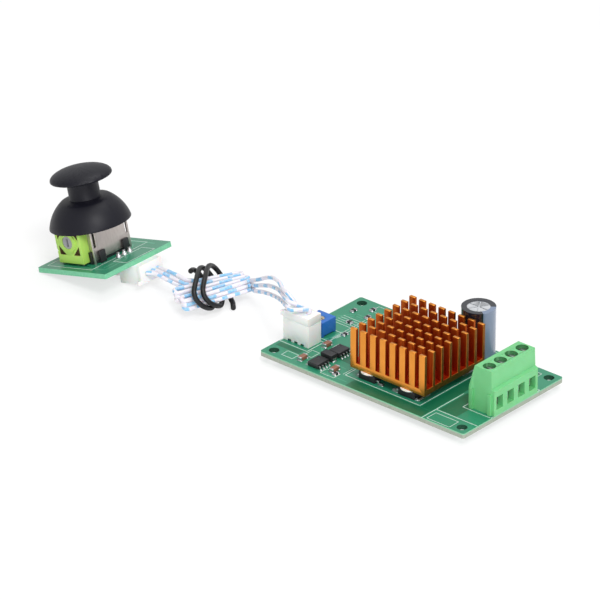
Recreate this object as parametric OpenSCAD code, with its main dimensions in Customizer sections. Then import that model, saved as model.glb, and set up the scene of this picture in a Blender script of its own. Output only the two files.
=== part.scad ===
// Joystick board and motor driver board joined by a three-wire ribbon cable.
// Frame: the origin is the middle of the driver board's hole pattern, on its underside.
// X runs along the board's long edge, Y along its short edge and Z is up.

/* [Driver board] */
// Length of the driver board along X
board_length = 78; // [76:0.5:84]
// Width of the driver board along Y
board_width = 46; // [45:0.5:50]
// Thickness of both circuit boards
board_thickness = 1.6; // [1.2:0.1:2]
// Radius of the driver board's corners
board_corner = 0.8; // [0.4:0.1:3]
// Diameter of the driver board's four mounting holes
mount_hole = 3.2; // [3:0.1:3.4]
// Distance from a mounting hole to the two nearest board edges
mount_inset = 3; // [2.6:0.1:3.2]
// How far the trimmed pin ends stand below the boards' undersides
pin_drop = 2; // [1.6:0.1:2.4]

/* [Heatsink] */
// Length of the heatsink along X
sink_length = 28.3; // [26:0.1:29]
// Width of the heatsink along Y
sink_width = 27.6; // [25:0.1:28]
// Full height of the heatsink
sink_height = 13; // [10:0.5:18]
// Thickness of the heatsink's base
sink_base = 1.9; // [1.5:0.1:2.5]
// Length of one heatsink pin along X
sink_pin_length = 2.2; // [1.8:0.1:2.6]
// Width of one heatsink pin along Y
sink_pin_width = 1; // [0.8:0.1:1.6]
// Number of heatsink pins in each row and column
sink_pins = 8; // [6:1:9]
// Middle of the heatsink along X
sink_x = 5.2; // [5:0.1:5.6]
// Middle of the heatsink along Y
sink_y = -3.2; // [-3.4:0.1:-3]
// Thickness of the heat-conducting glue under the heatsink
glue_height = 0.45; // [0.3:0.05:0.6]
// Diameter of each dot of glue
glue_dot = 6; // [5:0.1:6.4]
// How far the front and back glue dots are squeezed out past the transistors
glue_spill = 1; // [0.6:0.1:1.2]

/* [Power transistors] */
// Length of a transistor's moulded body along X
fet_length = 6.1; // [5.9:0.1:6.3]
// Width of a transistor's moulded body along Y
fet_width = 6.5; // [6.3:0.1:6.7]
// Height of a transistor above the board
fet_height = 2.3; // [2.1:0.1:2.4]
// Length of the metal tab beyond the body
fet_tab_length = 1.1; // [0.9:0.1:1.2]
// Width of the metal tab
fet_tab_width = 5.3; // [5:0.1:5.5]
// Thickness of the tab and the leads
fet_metal = 0.5; // [0.4:0.05:0.6]
// Reach of the leads beyond the body
fet_lead_reach = 2.6; // [2.4:0.1:2.8]
// Width of one lead
fet_lead_width = 0.75; // [0.6:0.05:0.9]
// Distance between the two outer leads
fet_lead_span = 4.6; // [4.4:0.1:4.7]
// Distance between the middles of the two transistors in a row
fet_spacing = 15.1; // [15:0.1:15.6]

/* [Driver chips and diode] */
// Width of a chip's body along X
chip_width = 3.9; // [3.8:0.05:4]
// Length of a chip's body along Y
chip_length = 4.9; // [4.8:0.05:5]
// Height of a chip above the board
chip_height = 1.6; // [1.4:0.05:1.75]
// Distance between the ends of a chip's opposite leads
chip_span = 6; // [5.9:0.05:6.1]
// Distance between neighbouring chip leads
chip_pitch = 1.27; // [1.25:0.01:1.27]
// Width of one chip lead
chip_lead_width = 0.42; // [0.36:0.02:0.48]
// Thickness of the chip leads
chip_metal = 0.22; // [0.18:0.02:0.26]
// Middle of both chips along X
chip_x = -20.1; // [-20.3:0.1:-19.9]
// Middle of the front chip along Y
front_chip_y = -18.4; // [-18.5:0.1:-18.3]
// Middle of the back chip along Y
back_chip_y = -8.9; // [-9:0.1:-8.8]
// Length of the diode's body along X
diode_length = 4.3; // [4.2:0.1:4.5]
// Width of the diode's body along Y
diode_width = 2.6; // [2.4:0.1:2.8]
// Height of the diode above the board
diode_height = 2.2; // [2:0.1:2.4]

/* [Chip capacitors and resistors] */
// Length of a chip capacitor
chipcap_length = 3.2; // [3:0.1:3.4]
// Width of a chip capacitor
chipcap_width = 1.6; // [1.5:0.1:1.8]
// Height of a chip capacitor
chipcap_height = 1.2; // [0.8:0.1:1.4]
// Length of a chip resistor
resistor_length = 2; // [1.9:0.1:2.1]
// Width of a chip resistor
resistor_width = 1.25; // [1.1:0.05:1.3]
// Height of a chip resistor
resistor_height = 0.5; // [0.4:0.05:0.6]
// Length of each metal end on the chip parts
end_metal = 0.45; // [0.35:0.05:0.5]

/* [Trimmer] */
// Length of the trimmer's case along X
trimmer_length = 6.6; // [6.4:0.1:6.8]
// Width of the trimmer's case along Y
trimmer_width = 6.1; // [5.9:0.1:6.3]
// Height of the trimmer's case
trimmer_height = 4.9; // [4.6:0.1:5.2]
// Middle of the trimmer along X
trimmer_x = -33.5; // [-33.6:0.1:-33.4]
// Middle of the trimmer along Y
trimmer_y = -1.8; // [-1.9:0.1:-1.5]
// Diameter of the trimmer's turning screw
rotor_diameter = 3; // [2.8:0.1:3.2]
// Depth of the turning screw in the case
rotor_depth = 1.6; // [1.4:0.1:1.8]

/* [Large capacitor] */
// Diameter over the capacitor's printed sleeve
cap_diameter = 10.4; // [9:0.1:10.6]
// Height of the capacitor
cap_height = 17; // [15:0.5:20]
// Thickness of the shrunk sleeve
cap_sleeve = 0.2; // [0.15:0.05:0.25]
// Middle of the capacitor along X
cap_x = 12.2; // [12:0.1:12.4]
// Distance between the capacitor's two leads
cap_lead_spacing = 5; // [4.8:0.1:5.1]
// Diameter of the capacitor's leads
cap_lead = 0.6; // [0.5:0.05:0.7]

/* [Headers and plugs] */
// Distance between neighbouring header pins
header_pitch = 2.5; // [2.45:0.01:2.54]
// Length of the header shrouds across the pins
header_length = 9.9; // [9.8:0.1:10.1]
// Width of the upright header
header_width = 5.75; // [5.6:0.05:5.9]
// Height of the upright header
header_height = 7; // [6.6:0.1:7.4]
// Thickness of the header shrouds
header_wall = 0.8; // [0.7:0.05:0.9]
// Thickness of the header floor that holds the pins
header_floor = 1.6; // [1.4:0.1:2]
// Side of the square header pins
header_pin = 0.64; // [0.6:0.02:0.66]
// Middle of the upright header along X
header_x = -33.9; // [-33.9:0.1:-33.8]
// Middle of the upright header along Y
header_y = -9.8; // [-9.9:0.1:-9.7]
// Height of a plug's collar outside its header
plug_collar = 2.7; // [2.4:0.1:3]
// Height of the side-entry header on the joystick board
side_header_height = 5.8; // [5.6:0.1:6.3]
// Reach of the side-entry header from its mouth to its lower back edge
side_header_foot = 7.8; // [7.5:0.1:8.1]
// How far the side-entry header stands out past the joystick board
side_header_overhang = 1.6; // [1.3:0.1:1.9]

/* [Terminal block] */
// Distance between neighbouring terminals
pole_pitch = 5; // [5:0.02:5.08]
// Depth of the terminal block along X
block_depth = 9.6; // [9.4:0.1:9.8]
// Height of the terminal block
block_height = 14.2; // [14:0.1:15]
// Middle of the terminal block along Y
block_y = 0.9; // [0.8:0.1:1.2]
// Width of each wire window
window_width = 3; // [2.8:0.1:3.2]
// Height of each wire window
window_height = 4.2; // [4:0.1:4.4]
// Diameter of the screw holes in the block's top
screw_hole = 3.9; // [3.8:0.05:4]
// Diameter of the screw heads
screw_head = 3.7; // [3.5:0.05:3.75]
// Height of the screw heads
screw_head_height = 1.9; // [1.6:0.1:2.1]
// Diameter of the screw threads
screw_thread = 2.5; // [2.3:0.1:2.6]
// Travel of each wire clamp from open to closed
clamp_travel = 2; // [1.6:0.1:2]

/* [Joystick board] */
// Size of the joystick board from its far edge to its plug edge
joy_board_length = 29.2; // [28.8:0.1:30]
// Size of the joystick board across, along Y
joy_board_width = 29.6; // [29:0.1:30.5]
// Place of the joystick board's raised edge along X
joy_edge_x = -100.4; // [-102:0.2:-100]
// Middle of the joystick board along Y
joy_y = -9.4; // [-9.6:0.1:-9.2]

/* [Joystick] */
// Size of the joystick's metal frame, which is square
stick_frame = 15; // [14.8:0.1:15.2]
// Thickness of the frame's sheet metal
frame_sheet = 0.5; // [0.4:0.05:0.6]
// Place of the joystick's middle on its board, away from the plug edge
module_a = -3; // [-3.2:0.1:-2.9]
// Place of the joystick's middle on its board, along Y
module_b = -0.2; // [-0.4:0.1:0.2]
// Height of the stick's turning centre above the joystick board
pivot_height = 7.6; // [7.5:0.1:8]
// Width of the two potentiometers
pot_width = 10.6; // [10:0.1:10.6]
// Thickness of the two potentiometers
pot_thickness = 3.3; // [3.1:0.1:3.3]
// Diameter of the potentiometers' turning hubs
hub_diameter = 4; // [3.8:0.1:4.2]
// Diameter of the rocker axles
axle_diameter = 2.6; // [2.4:0.1:2.7]
// Diameter of the stick
stick_diameter = 3; // [2.8:0.1:3.1]
// Furthest tilt of the stick each way
stick_tilt = 18; // [14:1:18]

/* [Knob cap] */
// Outer radius of the cap's round skirt
skirt_radius = 13.1; // [13.05:0.05:13.4]
// Wall thickness of the skirt
skirt_wall = 0.6; // [0.5:0.05:0.65]
// Height of the skirt's lower edge above the turning centre
skirt_rim = 2.8; // [2.2:0.1:3]
// Diameter of the cap's neck
neck_diameter = 9.8; // [9:0.1:10.4]
// Diameter of the thumb disc
disc_diameter = 19.4; // [18:0.2:21]
// Thickness of the thumb disc at its middle
disc_height = 4.2; // [3.8:0.1:4.4]
// Height of the thumb disc's top above the turning centre
cap_top = 20.8; // [20.4:0.2:22]

/* [Cable] */
// Diameter of one wire over its insulation
wire_diameter = 1.3; // [1.2:0.05:1.3]
// Distance from one layer of the hank to the next
hank_layer = 1.8; // [1.76:0.02:1.9]
// Half the length of the hank's straight runs
hank_half = 11; // [10.6:0.1:11.4]
// Diameter of the twist tie
tie_diameter = 1.6; // [1.4:0.1:1.6]

/* [Hidden] */

poles = 4;
hank_runs = 5;
fit = 0.05;
slide_fit = 0.08;
gap = 0.3;
ground = -pin_drop;
top = board_thickness;
hole_x = board_length / 2 - mount_inset;
hole_y = board_width / 2 - mount_inset;
solder_height = 1.2;
solder_dot = 1.9;
round_facets = 48;

sink_z = top + fet_height + glue_height;
fet_row_y = sink_width / 2 - fet_width / 2 - gap;
fets_x = sink_x - 2 * gap;
fet_pad_overhang = 0.6;

chip_gap = 0.15;
foot_length = 0.6;
resistor_places = [[-34.6, 14.5, 90], [-30.5, 18.6, 90], [-28.6, 14, 90], [-30.6, 8, 0],
                   [-26.6, 1.2, 90], [-12.4, -19.4, 90]];
chipcap_places = [[-26, -18.6], [-26, -7.6], [-14.2, -17.9]];

rotor_shift = [0.2, -0.8];
rotor_x = trimmer_x + rotor_shift[0];
rotor_y = trimmer_y + rotor_shift[1];
trimmer_foot = 0.4;
trimmer_top = top + trimmer_height;
trimmer_pin = 0.6;
trimmer_pin_places = [[-2.5, -1.3], [0, 1.2], [2.5, -1.3]];

cap_clearance = 0.4;
cap_y = sink_y + sink_width / 2 + cap_diameter / 2 + cap_clearance;
bung_height = 1.6;
can_diameter = cap_diameter - 2 * cap_sleeve;
crimp_depth = 0.5;
vent_depth = 0.25;
vent_width = 0.4;

socket_length = header_length - 2 * header_wall;
socket_width = header_width - 2 * header_wall;
plug_rise = header_height + plug_collar;
contact_side = 1.7;
contact_hole = header_pin + 2 * fit;
plug_ear = 1.2;

block_face = board_length / 2;
block_back = block_face - block_depth;
block_length = poles * pole_pitch;
block_ledge = 1;
block_brow = 1.3;
block_lean = 2.1;
block_rib = 0.7;
block_rib_width = 1.1;
block_step_share = 0.47;
block_sill_share = 0.57;
block_brow_share = 0.6;
screw_place_share = 0.427;
screw_x = block_face - block_depth * screw_place_share;
clamp_length = 4;
clamp_width = 3.6;
clamp_wall = 0.6;
clamp_low = 1.3;
clamp_opening = 5;
clamp_plate = 1.4;
clamp_height = clamp_wall + clamp_opening + clamp_plate;
chamber_top = clamp_low + clamp_height + clamp_travel + gap;
neck_height = 0.6;
contact_strip = 0.5;
contact_width = 1.8;
contact_bar_top = clamp_low + clamp_wall + clamp_opening - gap;
contact_set_back = 0.9;
contact_back = screw_x - clamp_length / 2 - slide_fit - contact_set_back;
window_low = 1.8;

foot_inset = side_header_foot - side_header_overhang;
joy_tilt = atan(side_header_height / (joy_board_length - foot_inset));
joy_z = ground + joy_board_length / 2 * sin(joy_tilt);
joy_x = joy_edge_x - joy_board_length / 2 * cos(joy_tilt) + top * sin(joy_tilt);
mouth_a = joy_board_length / 2 + side_header_overhang;
foot_a = mouth_a - side_header_foot;
pins_inset = 7.6;
pins_a = joy_board_length / 2 - pins_inset;
pins_b = 1.7;
side_pin_c = -side_header_height / 2;
back_block = 1.3;
back_block_lip = 0.6;
back_block_height = side_header_height / 2 + back_block_lip;
side_plug_collar = 1.5;
joy_plug_a = mouth_a + side_plug_collar;

half = stick_frame / 2;
inner = half - frame_sheet;
base_thickness = 1;
base_top = -pivot_height + base_thickness;
frame_low = base_top + fit;
arch_in = 3.8;
arch_out = 4.5;
arch_half = 2.2;
frame_headroom = 1.1;
frame_notch = 1;
frame_notch_low = -2.5;
frame_top = arch_out + frame_headroom;
both_tilt = acos(cos(stick_tilt) * cos(stick_tilt));
rim_angle = asin(skirt_rim / skirt_radius);
shoulder_z = -skirt_radius * sin(both_tilt - rim_angle) - gap;
clear_radius = skirt_radius - skirt_wall - gap;
stick_hole = frame_top * tan(both_tilt) + stick_diameter / 2 / cos(both_tilt) + gap;
slot_reach = arch_out * sin(stick_tilt) + stick_diameter / 2 / cos(stick_tilt) + gap;
yoke_x = 2.75;
yoke_y = 3.6;
yoke_z = 1.5;
yoke_slot_x = stick_diameter / 2 + gap + fit;
yoke_slot_y = 2.9;
pin_diameter = 1.6;
axle_beyond = 1.9;
axle_reach = half + axle_beyond;
pot_lift = 0.8;
pot_low = -pivot_height + pot_lift;
pot_high = 4.6;
track_height = 0.45;
track_diameter = 8.4;
boss_diameter = 6.6;
boss_height = 0.4;
pot_pin_depth = 1.2;
pot_pin_top = pot_low + pot_pin_depth;
hub_face = half + pot_thickness + gap;
pot_windows = [[[1.6, -4.1], [4.3, -4.1], [4.3, -1.2]], [[2.6, 2.9], [4.3, 2.9], [4.3, 0.7]]];
pot_recess = 1.2;
lug_low = -pivot_height;
lug_height = 3.8;
lug_top = lug_low + lug_height;
lug_width = 2.4;
lug_depth = 0.9;
lug_place = 5.2;
leg_width = 0.8;
leg_sheet = 0.6;
leg_inset = 0.1;
leg_low = -pivot_height - top + leg_inset;
leg_top = 4;
post_x = 5.4;
post_width = 1.4;
post_half = 2.2;
foot_radius = 3.2;
plate_top = -foot_radius - gap;
plate_height = 0.5;
plate_diameter = 9;
spring_wire = 0.4;
spring_radius = 2.6;
spring_turns = 2.5;
seat_wall = 0.6;
seat_height = 1.5;

boss_low = 8.4;
bore_top = 17.1;
cap_boss = 6;
disc_under_share = 0.27;
crown_angle = 54;
crown_top = 11;

ribbon_pitch = wire_diameter;
ribbon_width = 3 * wire_diameter;
hank_middle = [-74.6, -4.3, 2.7];
hank_angle = 70.1;
hank_roll = 60;
hank_fan = 1.5;
hank_hinge = 7;
hank_drop = 0.9;
tie_gap = 0.4;
tie_slack = [1.9, 0.6];
tie_at = -0.5;
tie_rise = 0.9;
tie_shear = 0.45;
tie_skew = 4;
tie_slant = 2;
tie_bow = 1.8;
tie_square = 0.7;
tie_pitch = 3.4;
tie_turn = 24;
tie_steps = 60;
tie_start = 195;
tie_tail = [[2.2, -1.6, 0], [4.4, -3.8, -0.2]];
hank_entry = -3;
hank_exit = 10;
straight_rings = 4;
turn_rings = 8;
fine_steps = 4;
ribbon_lead_out = 2;
wire_lead_out = 1.4;
plug_exit = side_point([joy_plug_a, pins_b, side_pin_c]);
plug_out = [cos(joy_tilt), 0, sin(joy_tilt)];

// Plain building blocks

module slab(x0, x1, y0, y1, z0, z1) {
    translate([x0, y0, z0])
        cube([x1 - x0, y1 - y0, z1 - z0]);
}

module post(d, z0, z1, sides = round_facets) {
    translate([0, 0, z0])
        cylinder(d = d, h = z1 - z0, $fn = sides);
}

module bar_x(d, x0, x1) {
    translate([x0, 0, 0])
        rotate([0, 90, 0])
            cylinder(d = d, h = x1 - x0, $fn = round_facets);
}

module bar_y(d, y0, y1) {
    translate([0, y1, 0])
        rotate([90, 0, 0])
            cylinder(d = d, h = y1 - y0, $fn = round_facets);
}

// The same thing at each of n places in a row along X
module row(n, pitch) {
    for (i = [0 : n - 1])
        translate([(i - (n - 1) / 2) * pitch, 0, 0])
            children();
}

module solder_cone(z, high) {
    translate([0, 0, z])
        cylinder(d1 = solder_dot, d2 = header_pin, h = high, $fn = 20);
}

module at_joystick() {
    translate([joy_x, joy_y, joy_z])
        rotate([0, -joy_tilt, 0])
            children();
}

module at_pivot() {
    at_joystick()
        translate([module_a, module_b, top + pivot_height])
            children();
}

// Turned so that what is written for the side toward -Y comes on the side toward -X
module on_x_side() {
    at_pivot()
        rotate([0, 0, -90])
            children();
}

function side_point(p) = [
    joy_x + p[0] * cos(joy_tilt) - p[2] * sin(joy_tilt),
    joy_y + p[1],
    joy_z + p[0] * sin(joy_tilt) + p[2] * cos(joy_tilt)
];

// Swept tubes

function unit(v) = v / norm(v);

function flat_normal(w, t) = unit(cross(t, w));

// Point at t along one span of a smooth curve through b and c
function smooth(a, b, c, d, t) =
    ((2 * b) + (c - a) * t + (2 * a - 5 * b + 4 * c - d) * t * t
        + (3 * b - a - 3 * c + d) * t * t * t) / 2;

// The route's points with steps spans between each pair of them
function curve(p, steps) = [
    for (i = [0 : len(p) - 2], k = [0 : steps - 1])
        smooth(p[max(i - 1, 0)], p[i], p[i + 1], p[min(i + 2, len(p) - 1)], k / steps),
    p[len(p) - 1]
];

function tangents(p) = [
    for (i = [0 : len(p) - 1])
        unit(p[min(i + 1, len(p) - 1)] - p[max(i - 1, 0)])
];

// A side direction for each ring, carried along the tube without twist
function carried(t, i, side) =
    i == len(t) ? [] : concat(
        [unit(side - t[i] * (side * t[i]))],
        carried(t, i + 1, unit(side - t[i] * (side * t[i])))
    );

function round_rings(p, t, w, r, sides) = [
    for (i = [0 : len(p) - 1])
        [for (k = [0 : sides - 1])
            p[i] + r * (cos(360 * k / sides) * w[i]
                + sin(360 * k / sides) * cross(t[i], w[i]))]
];

// Section of the ribbon: three round wires grown together, as width and height in radii
ribbon_half = [[3, 0], [2.7, 0.7], [2, 1], [1.3, 0.75], [1, 0.6], [0.7, 0.75], [0, 1],
               [-0.7, 0.75], [-1, 0.6], [-1.3, 0.75], [-2, 1], [-2.7, 0.7]];
ribbon_section = concat(ribbon_half, [for (q = ribbon_half) -q]);

function ribbon_rings(p, t, w, spread) = [
    for (i = [0 : len(p) - 1])
        [for (q = ribbon_section)
            p[i] + wire_diameter / 2 * (q[0] * spread[i] * w[i]
                + q[1] * flat_normal(w[i], t[i]))]
];

// One closed skin over the rings, with its middle points to close the ends
module skin(rings, p) {
    n = len(rings[0]);
    m = len(rings);
    points = concat([for (r = rings) each r], [p[0], p[len(p) - 1]]);
    sides = [for (i = [0 : m - 2], k = [0 : n - 1])
        let (a = i * n + k, b = i * n + (k + 1) % n)
            each [[a, a + n, b], [b, a + n, b + n]]];
    start = [for (k = [0 : n - 1]) [m * n, k, (k + 1) % n]];
    end = [for (k = [0 : n - 1])
        [m * n + 1, (m - 1) * n + (k + 1) % n, (m - 1) * n + k]];
    polyhedron(points = points, faces = concat(sides, start, end), convexity = 8);
}

// The same directions with the first and the last square to what the tube meets
function squared(t, first, last) = [
    for (i = [0 : len(t) - 1])
        i == 0 ? first : i == len(t) - 1 ? last : t[i]
];

module tube(p, d, sides, side, t) {
    skin(round_rings(p, t, carried(t, 0, side), d / 2, sides), p);
}

// Driver board

module driver_board() {
    color("#2f8f6c")
        difference() {
            linear_extrude(height = top)
                offset(r = board_corner, $fn = 32)
                    square([board_length - 2 * board_corner, board_width - 2 * board_corner],
                           center = true);
            for (sx = [-1, 1], sy = [-1, 1])
                translate([sx * hole_x, sy * hole_y, 0])
                    post(mount_hole, -fit, top + fit);
            translate([header_x, header_y, 0])
                row(3, header_pitch)
                    post(header_pin * sqrt(2) + 2 * fit, -fit, top + fit, 20);
            for (q = trimmer_pin_places)
                translate([trimmer_x + q[0], trimmer_y + q[1], 0])
                    post(trimmer_pin + 2 * fit, -fit, top + fit, 20);
            translate([cap_x, cap_y, 0])
                row(2, cap_lead_spacing)
                    post(cap_lead + 2 * fit, -fit, top + fit, 20);
            at_poles()
                translate([contact_back, 0, -top])
                    slab(-fit, contact_strip + fit, -contact_width / 4 - fit,
                         contact_width / 4 + fit, -fit, top + fit);
        }
}

// Heatsink and transistors

module heatsink() {
    pitch_x = (sink_length - sink_pin_length) / (sink_pins - 1);
    pitch_y = (sink_width - sink_pin_width) / (sink_pins - 1);
    color("#d99a3c")
        translate([sink_x, sink_y, sink_z]) {
            slab(-sink_length / 2, sink_length / 2, -sink_width / 2, sink_width / 2,
                 0, sink_base);
            for (i = [0 : sink_pins - 1], j = [0 : sink_pins - 1])
                translate([i * pitch_x - sink_length / 2, j * pitch_y - sink_width / 2, 0])
                    cube([sink_pin_length, sink_pin_width, sink_height]);
        }
}

// Each transistor in turn, with its leads toward the middle of the board's row
module at_fets() {
    for (sx = [-1, 1], sy = [-1, 1])
        translate([fets_x + sx * fet_spacing / 2, sink_y + sy * fet_row_y, top])
            scale([-sx, sy, 1])
                children();
}

module glue_dots() {
    beside = fet_row_y + (fet_width - glue_dot) / 2;
    color("#f2efe6")
        for (sx = [-1, 1], y = [-beside - glue_spill, beside])
            translate([fets_x + sx * fet_spacing / 2, sink_y + y, top + fet_height])
                post(glue_dot, 0, glue_height, 32);
}

module power_transistors() {
    color("#1d1d20")
        at_fets()
            difference() {
                slab(-fet_length / 2, fet_length / 2, -fet_width / 2, fet_width / 2,
                     0, fet_height);
                slab(-fet_length / 2 - fit, fet_length / 2 - fet_metal * 2,
                     -fet_tab_width / 2, fet_tab_width / 2, -fit, fet_metal);
            }
}

// The tab under each body, with the two outer leads and the short middle one
module transistor_tabs() {
    color("#b9bcc0")
        at_fets() {
            slab(-fet_length / 2 - fet_tab_length, fet_length / 2 - fet_metal * 2,
                 -fet_tab_width / 2, fet_tab_width / 2, 0, fet_metal);
            for (y = [-fet_lead_span / 2, 0, fet_lead_span / 2])
                translate([fet_length / 2, y, 0])
                    fet_lead(y == 0);
        }
}

module fet_lead(short) {
    high = fet_height / 2;
    slab(0, short ? foot_length : foot_length + fet_metal, -fet_lead_width / 2,
         fet_lead_width / 2, high - fet_metal, high);
    if (!short) {
        slab(foot_length, foot_length + fet_metal, -fet_lead_width / 2,
             fet_lead_width / 2, 0, high);
        slab(foot_length, fet_lead_reach, -fet_lead_width / 2, fet_lead_width / 2,
             0, fet_metal);
    }
}

// Driver chips, diode, capacitors and resistors on the board's top

module at_chips() {
    for (y = [front_chip_y, back_chip_y])
        translate([chip_x, y, top])
            children();
}

module chip_bodies() {
    color("#2a292e")
        at_chips()
            difference() {
                slab(-chip_width / 2, chip_width / 2, -chip_length / 2, chip_length / 2,
                     chip_gap, chip_height);
                translate([-chip_width / 4, chip_length / 3, chip_height - chip_gap / 2])
                    post(chip_width / 6, 0, chip_gap, 20);
            }
}

module chip_leads() {
    color("#c6c8cb")
        at_chips()
            for (s = [-1, 1], k = [-1.5 : 1 : 1.5])
                translate([0, k * chip_pitch, 0])
                    scale([s, 1, 1])
                        chip_lead();
}

module chip_lead() {
    bend = chip_width / 2 + (chip_span - chip_width) / 6;
    high = chip_height / 2 + chip_metal;
    y = chip_lead_width / 2;
    slab(chip_width / 2, bend + chip_metal, -y, y, high - chip_metal, high);
    slab(bend, bend + chip_metal, -y, y, 0, high);
    slab(bend, chip_span / 2, -y, y, 0, chip_metal);
}

module at_diode() {
    translate([chip_x, (front_chip_y + back_chip_y) / 2, top])
        children();
}

module diode() {
    color("#232226")
        at_diode()
            slab(-diode_length / 2, diode_length / 2, -diode_width / 2, diode_width / 2,
                 chip_gap, diode_height);
}

module diode_ends() {
    strap = diode_width / 4;
    color("#b9bcc0")
        at_diode()
            for (s = [-1, 1])
                scale([s, 1, 1]) {
                    slab(diode_length / 2, diode_length / 2 + chip_gap, -strap, strap,
                         0, diode_height / 2);
                    slab(diode_length / 2 - end_metal * 2, diode_length / 2, -strap, strap,
                         0, chip_gap);
                }
}

module at_chipcaps() {
    for (q = chipcap_places)
        translate([q[0], q[1], top])
            rotate([0, 0, 90])
                children();
}

module at_resistors() {
    for (q = resistor_places)
        translate([q[0], q[1], top])
            rotate([0, 0, q[2]])
                children();
}

module middle_block(l, w, h) {
    slab(-l / 2 + end_metal, l / 2 - end_metal, -w / 2, w / 2, 0, h);
}

module end_blocks(l, w, h) {
    for (s = [-1, 1])
        scale([s, 1, 1])
            slab(l / 2 - end_metal, l / 2, -w / 2, w / 2, 0, h);
}

module chip_capacitors() {
    color("#8a5a44")
        at_chipcaps()
            middle_block(chipcap_length, chipcap_width, chipcap_height);
}

module resistors() {
    color("#2b2a2c")
        at_resistors()
            middle_block(resistor_length, resistor_width, resistor_height);
}

module end_caps() {
    color("#c9cbcd") {
        at_chipcaps()
            end_blocks(chipcap_length, chipcap_width, chipcap_height);
        at_resistors()
            end_blocks(resistor_length, resistor_width, resistor_height);
    }
}

// Trimmer

module trimmer_case() {
    color("#2c62b4")
        difference() {
            translate([trimmer_x, trimmer_y, 0]) {
                slab(-trimmer_length / 2, trimmer_length / 2, -trimmer_width / 2,
                     trimmer_width / 2, top + trimmer_foot, trimmer_top);
                for (sx = [-1, 1], sy = [-1, 1])
                    scale([sx, sy, 1])
                        slab(trimmer_length / 2 - 2 * trimmer_foot, trimmer_length / 2,
                             trimmer_width / 2 - 2 * trimmer_foot, trimmer_width / 2,
                             top, trimmer_top);
            }
            translate([rotor_x, rotor_y, 0])
                post(rotor_diameter + 2 * fit, trimmer_top - rotor_depth, trimmer_top + fit);
        }
}

module trimmer_rotor() {
    slot = rotor_diameter / 5;
    color("#d8d2c4")
        translate([rotor_x, rotor_y, trimmer_top - rotor_depth])
            difference() {
                post(rotor_diameter, fit, rotor_depth - fit);
                slab(-rotor_diameter, rotor_diameter, -slot / 2, slot / 2,
                     rotor_depth / 2, rotor_depth);
            }
}

module trimmer_pins() {
    color("#c9c4b4")
        for (q = trimmer_pin_places)
            translate([trimmer_x + q[0], trimmer_y + q[1], 0]) {
                post(trimmer_pin, ground, top + trimmer_foot, 16);
                solder_cone_down();
            }
}

// A solder cone under the board, with its broad end on the board
module solder_cone_down() {
    scale([1, 1, -1])
        solder_cone(0, solder_height);
}

// Large capacitor

module capacitor_can() {
    color("#c3c6c9")
        translate([cap_x, cap_y, top])
            difference() {
                post(can_diameter, bung_height, cap_height - cap_sleeve);
                for (a = [0, 60, 120])
                    rotate([0, 0, a])
                        slab(-can_diameter / 3, can_diameter / 3, -vent_width / 2,
                             vent_width / 2, cap_height - cap_sleeve - vent_depth,
                             cap_height);
            }
}

module capacitor_sleeve() {
    lip = cap_diameter / 10;
    color("#23262e")
        translate([cap_x, cap_y, top])
            difference() {
                post(cap_diameter, cap_sleeve, cap_height);
                post(can_diameter, 0, cap_height - cap_sleeve);
                post(cap_diameter - 2 * lip, 0, cap_height + fit);
            }
}

module capacitor_bung() {
    color("#3a3a3c")
        translate([cap_x, cap_y, top])
            post(can_diameter, 0, bung_height);
}

module capacitor_leads() {
    color("#c9cbcd")
        translate([cap_x, cap_y, 0])
            row(2, cap_lead_spacing) {
                post(cap_lead, ground, top, 16);
                solder_cone_down();
            }
}

// Upright header and its plug

module square_pin(z0, z1) {
    slab(-header_pin / 2, header_pin / 2, -header_pin / 2, header_pin / 2, z0, z1);
}

module header_shroud() {
    notch = header_pin * 2;
    color("#dcdcd6")
        translate([header_x, header_y, top])
            difference() {
                slab(-header_length / 2, header_length / 2, -header_width / 2,
                     header_width / 2, 0, header_height);
                slab(-socket_length / 2, socket_length / 2, -socket_width / 2,
                     socket_width / 2, header_floor, header_height + fit);
                row(3, header_pitch)
                    post(header_pin * sqrt(2) + 2 * fit, -fit, header_floor + fit, 20);
                row(3, header_pitch)
                    slab(-notch / 2, notch / 2, -header_width / 2 - fit,
                         -header_width / 2 + header_wall / 2, -fit, header_pin);
            }
}

module header_pins() {
    color("#d6d0bd")
        translate([header_x, header_y, 0])
            row(3, header_pitch) {
                square_pin(ground, top + header_height - header_wall);
                solder_cone_down();
            }
}

// A plug as it stands on its header, with its base at the header's floor
module plug_body(insert_end, collar) {
    difference() {
        union() {
            slab(-socket_length / 2 + fit, socket_length / 2 - fit,
                 -socket_width / 2 + fit, socket_width / 2 - fit,
                 header_floor + gap, insert_end);
            slab(-header_length / 2, header_length / 2, -header_width / 2,
                 header_width / 2, insert_end, insert_end + collar);
            slab(-header_length / 2 - plug_ear, -header_length / 2, -header_width / 2,
                 -header_width / 2 + plug_ear, insert_end + collar / 5,
                 insert_end + collar * 4 / 5);
        }
        row(3, header_pitch)
            slab(-contact_side / 2 - fit, contact_side / 2 + fit,
                 -contact_side / 2 - fit, contact_side / 2 + fit,
                 header_floor + gap - fit, insert_end + fit);
    }
}

module crimp_contact(insert_end) {
    difference() {
        slab(-contact_side / 2, contact_side / 2, -contact_side / 2, contact_side / 2,
             header_floor + 2 * gap, insert_end);
        slab(-contact_hole / 2, contact_hole / 2, -contact_hole / 2, contact_hole / 2,
             header_floor, insert_end - header_wall + gap);
    }
}

module driver_plug() {
    color("#e6e6e1")
        translate([header_x, header_y, top])
            plug_body(header_height, plug_collar);
}

module driver_contacts() {
    color("#c9b26a")
        translate([header_x, header_y, top])
            row(3, header_pitch)
                crimp_contact(header_height);
}

// Terminal block

module at_poles() {
    for (k = [0 : poles - 1])
        at_pole(k)
            children();
}

module at_pole(k) {
    translate([0, block_y + (k - (poles - 1) / 2) * pole_pitch, top])
        children();
}

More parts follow.
